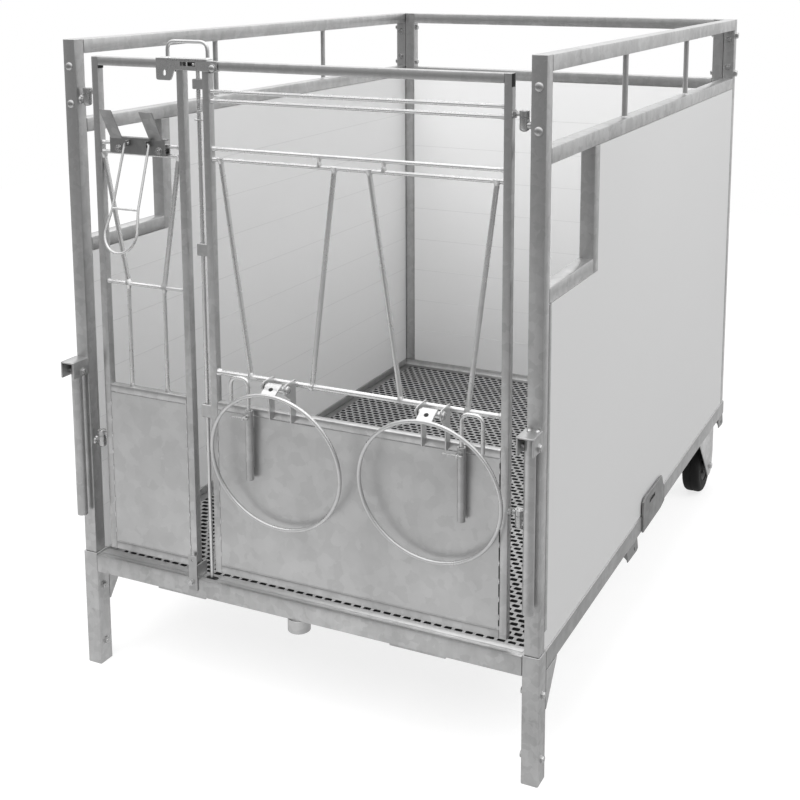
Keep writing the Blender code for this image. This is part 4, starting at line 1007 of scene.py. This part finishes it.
def latchAndRod():
    front, bolt = latch["y"], latch["bolt"]
    eyeX, (high, low), r = latch["eye"]
    t = np.radians(np.linspace(0, 180, 7))
    eye = [(eyeX + r * math.cos(a), high + r * math.sin(a)) for a in t]
    eye += [(eyeX - r * math.cos(a), low - r * math.sin(a)) for a in t]
    (a, b), y = latch["gripX"], latch["gripY"]
    grip = [(a, y, 1.0790), (a, y, latch["gripTop"]), (b, y, latch["gripTop"]), (b, y, 1.0790)]
    parts = [plate(1, latch["outline"], *front, [corners(*latch["slot"]), eye]),
             tube(latch["x"], (front[0], 0.0230), (1.0778, 1.0800), 0.0006),
             tube(latch["x"], front, (1.0755, 1.0795), 0.0006),
             rod(grip, latch["grip"], bend=latch["gripBend"])]
    parts += [turned(2, (x, y), [(1.0798, 0.0062), (1.0825, 0.0040)]) for x in latch["gripX"]]
    piece("latch", parts, "ring", ["latch"], "latch")
    # A thin dark plate behind the drop rod is painted shade that darkens the slot.
    slotShadePlate = tube((door["x"][1] + 0.0012, -0.2070), (rodY + 0.0055, rodY + 0.0063), (1.0610, 1.0780), 0.0004,
                  0.0002)
    piece("latchSlotShade", slotShadePlate, "dark", body="latch")
    screw = [hexBolt(1, bolt, 0.0012, -1, 0.0074, 0.0036, dome=True),
             hexBolt(1, bolt, 0.024, 1, 0.006, 0.004), turned(1, bolt, [(0.0012, 0.003), (0.0240, 0.003)])]
    fastener("latchBolt", screw, ["latch_bolt"], "gate")
    x, (foot, top), radius, washer = dropRod["x"], dropRod["z"], dropRod["radius"], dropRod["washer"]
    bar = [(foot, radius * 0.8), (foot + 0.0035, radius), (washer + 0.0010, radius), (1.0150, radius),
           (top - 0.0020, radius), (top, radius * 0.8)]
    disc = [(washer, 0.0072), (washer + 0.0003, 0.0075), (washer + 0.0022, 0.0075), (washer + 0.0025, 0.0072)]
    stem = [turned(2, (x, rodY), bar), turned(2, (x, rodY), disc)]
    # A coil spring: a helix of the wire round the rod between the washer and the upper guide.
    turns, (start, rise), wide = dropRod["turns"], dropRod["coilZ"], dropRod["coil"]
    a = np.linspace(0, 2 * np.pi * turns, turns * 14)
    coil = np.stack([x + wide * np.cos(a), rodY + wide * np.sin(a), start + rise * a / a[-1]], 1)
    pinZ, crossZ = dropRod["pinZ"], washer + 0.0012
    stem += [sweep(coil, circle(dropRod["wire"], 6)), rod([(x, rodY, pinZ), (x, -0.0020, pinZ)], 0.0025),
             rod([(x - 0.0108, rodY, crossZ), (x + 0.0108, rodY, crossZ)], 0.0018)]
    piece("dropRod", stem, "rod", ["drop_rod"], "drop_rod")


teat = {"x": (-0.4175, -0.2815), "barZ": (0.8825, 0.9165), "boltX": (-0.3960, -0.2965), "boltZ": 0.8925,
        "horns": ((-0.4155, -0.3865), (-0.3185, -0.2865)), "lugs": (-0.3670, -0.3180),
        "pin": (-0.0050, 0.9060),
        "hornShape": ((0.0040, 0.9130), (0.0070, 0.9130), (-0.0255, 0.9725), (-0.0265, 0.9740),
                      (-0.0290, 0.9735)),
        "clampZ": (0.8800, 0.9050), "middle": -0.3425, "slope": 0.350, "bow": 0.0390, "bowZ": 0.735,
        "wire": 0.0027, "cross": (0.0315, 0.780)}


def teatHolder():
    boltZ, (pinY, pinZ) = teat["boltZ"], teat["pin"]
    holes = [(x, boltZ, 0.0039) for x in teat["boltX"]]
    parts = [plate(1, corners(teat["x"], teat["barZ"]), 0.0040, 0.0070, holes),
             tube(teat["x"], (0.0045, 0.0180), (0.9135, 0.9165), 0.0008)]
    parts += [plate(0, teat["hornShape"], *x, bevel=0.0005) for x in teat["horns"]]
    lug = corners((-0.0110, 0.0050), (0.9000, 0.9120))
    parts += [plate(0, lug, x - 0.0015, x + 0.0015, [(pinY, pinZ, 0.0032)], 0.0003) for x in teat["lugs"]]
    piece("teatHolder", parts, "dull", ["teat_holder"], "door")
    clamp = [plate(1, corners(teat["x"], teat["clampZ"]), 0.0200, 0.0225)]
    for x in teat["boltX"]:
        clamp += [hexBolt(1, (x, boltZ), 0.0037, -1, 0.0068, 0.0042),
                  hexBolt(1, (x, boltZ), 0.0225, 1, 0.0068, 0.0042),
                  turned(1, (x, boltZ), [(0.0037, 0.0035), (0.0225, 0.0035)])]
    fastener("teatClamp", clamp, ["teat_clamp"], "door")

    def at(x, z):
        # A point of the loop's leaning plane.
        return (teat["middle"] + x, pinY - (pinZ - z) * teat["slope"], z)

    t = np.radians(np.linspace(0, -180, 17))
    bow = [at(teat["bow"] * math.cos(a), teat["bowZ"] + teat["bow"] * math.sin(a)) for a in t]
    wide, crossZ = teat["cross"]
    right = [at(0.0205, pinZ), at(0.0295, pinZ), at(0.0301, pinZ - 0.012), at(wide, crossZ)]
    left = [(2 * teat["middle"] - p[0], p[1], p[2]) for p in reversed(right)]
    path = np.vstack([bent(right[:3], 0.005), right[3:], bow, left[:1], bent(left[1:], 0.005)])
    loop = [rod(path, teat["wire"]), rod([at(-wide, crossZ), at(wide, crossZ)], 0.0025)]
    piece("teatLoop", loop, "rod", ["teat_loop"], "teat_loop")


def notches():
    # Dark blocks painted as the shade in small gaps left open in the mitred corners of the door and the gate,
    # and at the gate's upper right edge.
    doorSpots = ((door["x"][0] + 0.0180, 1.0560), (door["x"][1] - 0.0180, 1.0560))
    gateSpots = ((gate["x"][0] + 0.0180, 1.0555),)
    for name, spots in (("door", doorSpots), ("gate", gateSpots)):
        shapes = [tube((a - 0.0018, a + 0.0018), (0.0075, 0.0200), (b - 0.0028, b + 0.0028), 0.0008, 0.0003)
                  for a, b in spots]
        if name == "gate":
            edge = gate["x"][1]
            shapes.append(tube((edge - 0.0012, edge + 0.0004), (0.0056, 0.0200), (1.0520, 1.0757), 0.0003,
                               0.0002))
        piece(name + "Notches", shapes, "dark", body=name)


for build in (baseFrame, floorGrating, legs, frontSocket, wheels, sideFrames, rearFrame, panels, handles,
              pintles, doorKeeper, gateFrame, doorFrame, bucketRings, hooksAndGuides, latchAndRod,
              teatHolder):
    build()
    print(build.__name__, "built")
leafSheet("gateSheet", gate["x"], gate["z"], "gate", "gate_sheet")
leafSheet("doorSheet", door["x"], door["z"], "door", "door_sheet")
notches()
print("sheets built")


# Studio.

# The room's light on the object, the room in reflections, the floor, and the lamps: place, aim, size, power.
lighting = {
    "walls": 0.44, "fromRight": 0.02, "fromBack": 0.30, "top": 0.85, "topSpread": 1.2,
    "shine": 0.60, "shineRight": 0.10, "shineBack": 0.42, "shineTop": 2.0,
    "floorGrey": 0.34, "floorLift": 0.76, "glow": 0.62, "glowBack": 0.12, "glowRight": -0.40, "reach": 5.0,
    "lamps": (("top", (-0.3, -2.4, 3.6), (0.0, 0.3, 0.5), 3.0, 112.0),
              ("side", (2.6, 0.4, 3.0), (0.5, 0.1, 1.0), 1.6, 26.0)),
}


def studioFloor():
    reach, grey = lighting["reach"], lighting["floorGrey"]
    mesh = bpy.data.meshes.new("studioFloor")
    mesh.from_pydata([(x, y, 0) for x, y in corners((-reach, reach), (-reach, reach))], [], [(0, 1, 2, 3)])
    ground = bpy.data.objects.new("studioFloor", mesh)
    bpy.context.scene.collection.objects.link(ground)
    pale, tree, shader = shaded("studioPale", {"Base Color": (grey, grey, grey, 1), "Roughness": 1.0,
                                               "Specular IOR Level": 0.0, "Emission Color": (1, 1, 1, 1)})
    # The floor shows white to the camera except in the object's own shadow; reflections see it darker on the
    # right and far in front.
    add, times, larger = sums(tree)
    seen = node(tree, "ShaderNodeLightPath")
    spot = node(tree, "ShaderNodeTexCoord")
    part = node(tree, "ShaderNodeSeparateXYZ")
    tree.links.new(spot.outputs["Object"], part.inputs[0])
    right = times(larger(part.outputs[0], 0.0), lighting["glowRight"])
    glow = add(times(part.outputs[1], lighting["glowBack"]), lighting["glow"])
    glow = larger(add(glow, right), 0.0)
    lift = times(seen.outputs["Is Camera Ray"], lighting["floorLift"])
    lift = add(times(seen.outputs["Is Glossy Ray"], glow), lift)
    tree.links.new(lift, shader.inputs["Emission Strength"])
    mesh.materials.append(pale)


def room():
    world = bpy.data.worlds.new("studio")
    world.use_nodes = True
    tree = world.node_tree
    add, times, larger = sums(tree)
    back = tree.nodes["Background"]
    coords = node(tree, "ShaderNodeTexCoord")
    split = node(tree, "ShaderNodeSeparateXYZ")
    tree.links.new(coords.outputs["Generated"], split.inputs[0])
    x, y, z = split.outputs
    # The room's brightness by direction: lighter behind the object than in front, lightest overhead.
    walls = add(add(times(x, lighting["fromRight"]), times(y, lighting["fromBack"])), lighting["walls"])
    rise = mathNode(tree, "POWER", larger(z, 0.0), lighting["topSpread"])
    total = add(larger(walls, 0.04), times(rise, lighting["top"]))
    # Reflections see a room with more contrast.
    shine = add(add(times(x, lighting["shineRight"]), times(y, lighting["shineBack"])), lighting["shine"])
    shine = add(larger(shine, 0.06), times(larger(z, 0.0), lighting["shineTop"]))
    seen = node(tree, "ShaderNodeLightPath")
    total = add(total, times(mathNode(tree, "SUBTRACT", shine, total), seen.outputs["Is Glossy Ray"]))
    light = node(tree, "ShaderNodeBackground")
    tree.links.new(total, light.inputs["Strength"])
    back.inputs["Color"].default_value = (1, 1, 1, 1)
    mix = node(tree, "ShaderNodeMixShader")
    for i, given in enumerate((seen.outputs["Is Camera Ray"], light.outputs[0], back.outputs[0])):
        tree.links.new(given, mix.inputs[i])
    tree.links.new(mix.outputs[0], tree.nodes["World Output"].inputs["Surface"])
    bpy.context.scene.world = world


def lamps():
    for name, spot, aim, size, power in lighting["lamps"]:
        lamp = bpy.data.lights.new(name, "AREA")
        lamp.size = size
        lamp.energy = power
        made = bpy.data.objects.new(name, lamp)
        made.location = spot
        made.visible_glossy = False
        x, y, z = np.array(aim) - np.array(spot)
        made.rotation_euler = (math.atan2(np.hypot(x, y), -z), 0.0, math.atan2(-x, y))
        bpy.context.scene.collection.objects.link(made)


view = {"position": (1.2624, -2.0557, 1.2651), "azimuth": 24.716, "elevation": 9.225, "roll": -0.074,
        "focal": 1276.25, "picture": 800.0, "centre": (436.63, 170.00)}


def camera():
    # The azimuth turns the view from +Y towards -X; the shifts put the picture's centre off the lens axis.
    lens = bpy.data.cameras.new("camera")
    lens.sensor_width = 36.0
    lens.lens = view["focal"] / view["picture"] * lens.sensor_width
    lens.shift_x = (view["picture"] / 2 - view["centre"][0]) / view["picture"]
    lens.shift_y = -(view["picture"] / 2 - view["centre"][1]) / view["picture"]
    eye = bpy.data.objects.new("camera", lens)
    eye.location = np.array(view["position"]) + place
    turns = (90 - view["elevation"], view["roll"], view["azimuth"])
    eye.rotation_euler = [math.radians(angle) for angle in turns]
    bpy.context.scene.collection.objects.link(eye)
    bpy.context.scene.camera = eye


studioFloor()
room()
lamps()
camera()
bpy.context.scene.view_settings.view_transform = "Standard"
print("studio set")
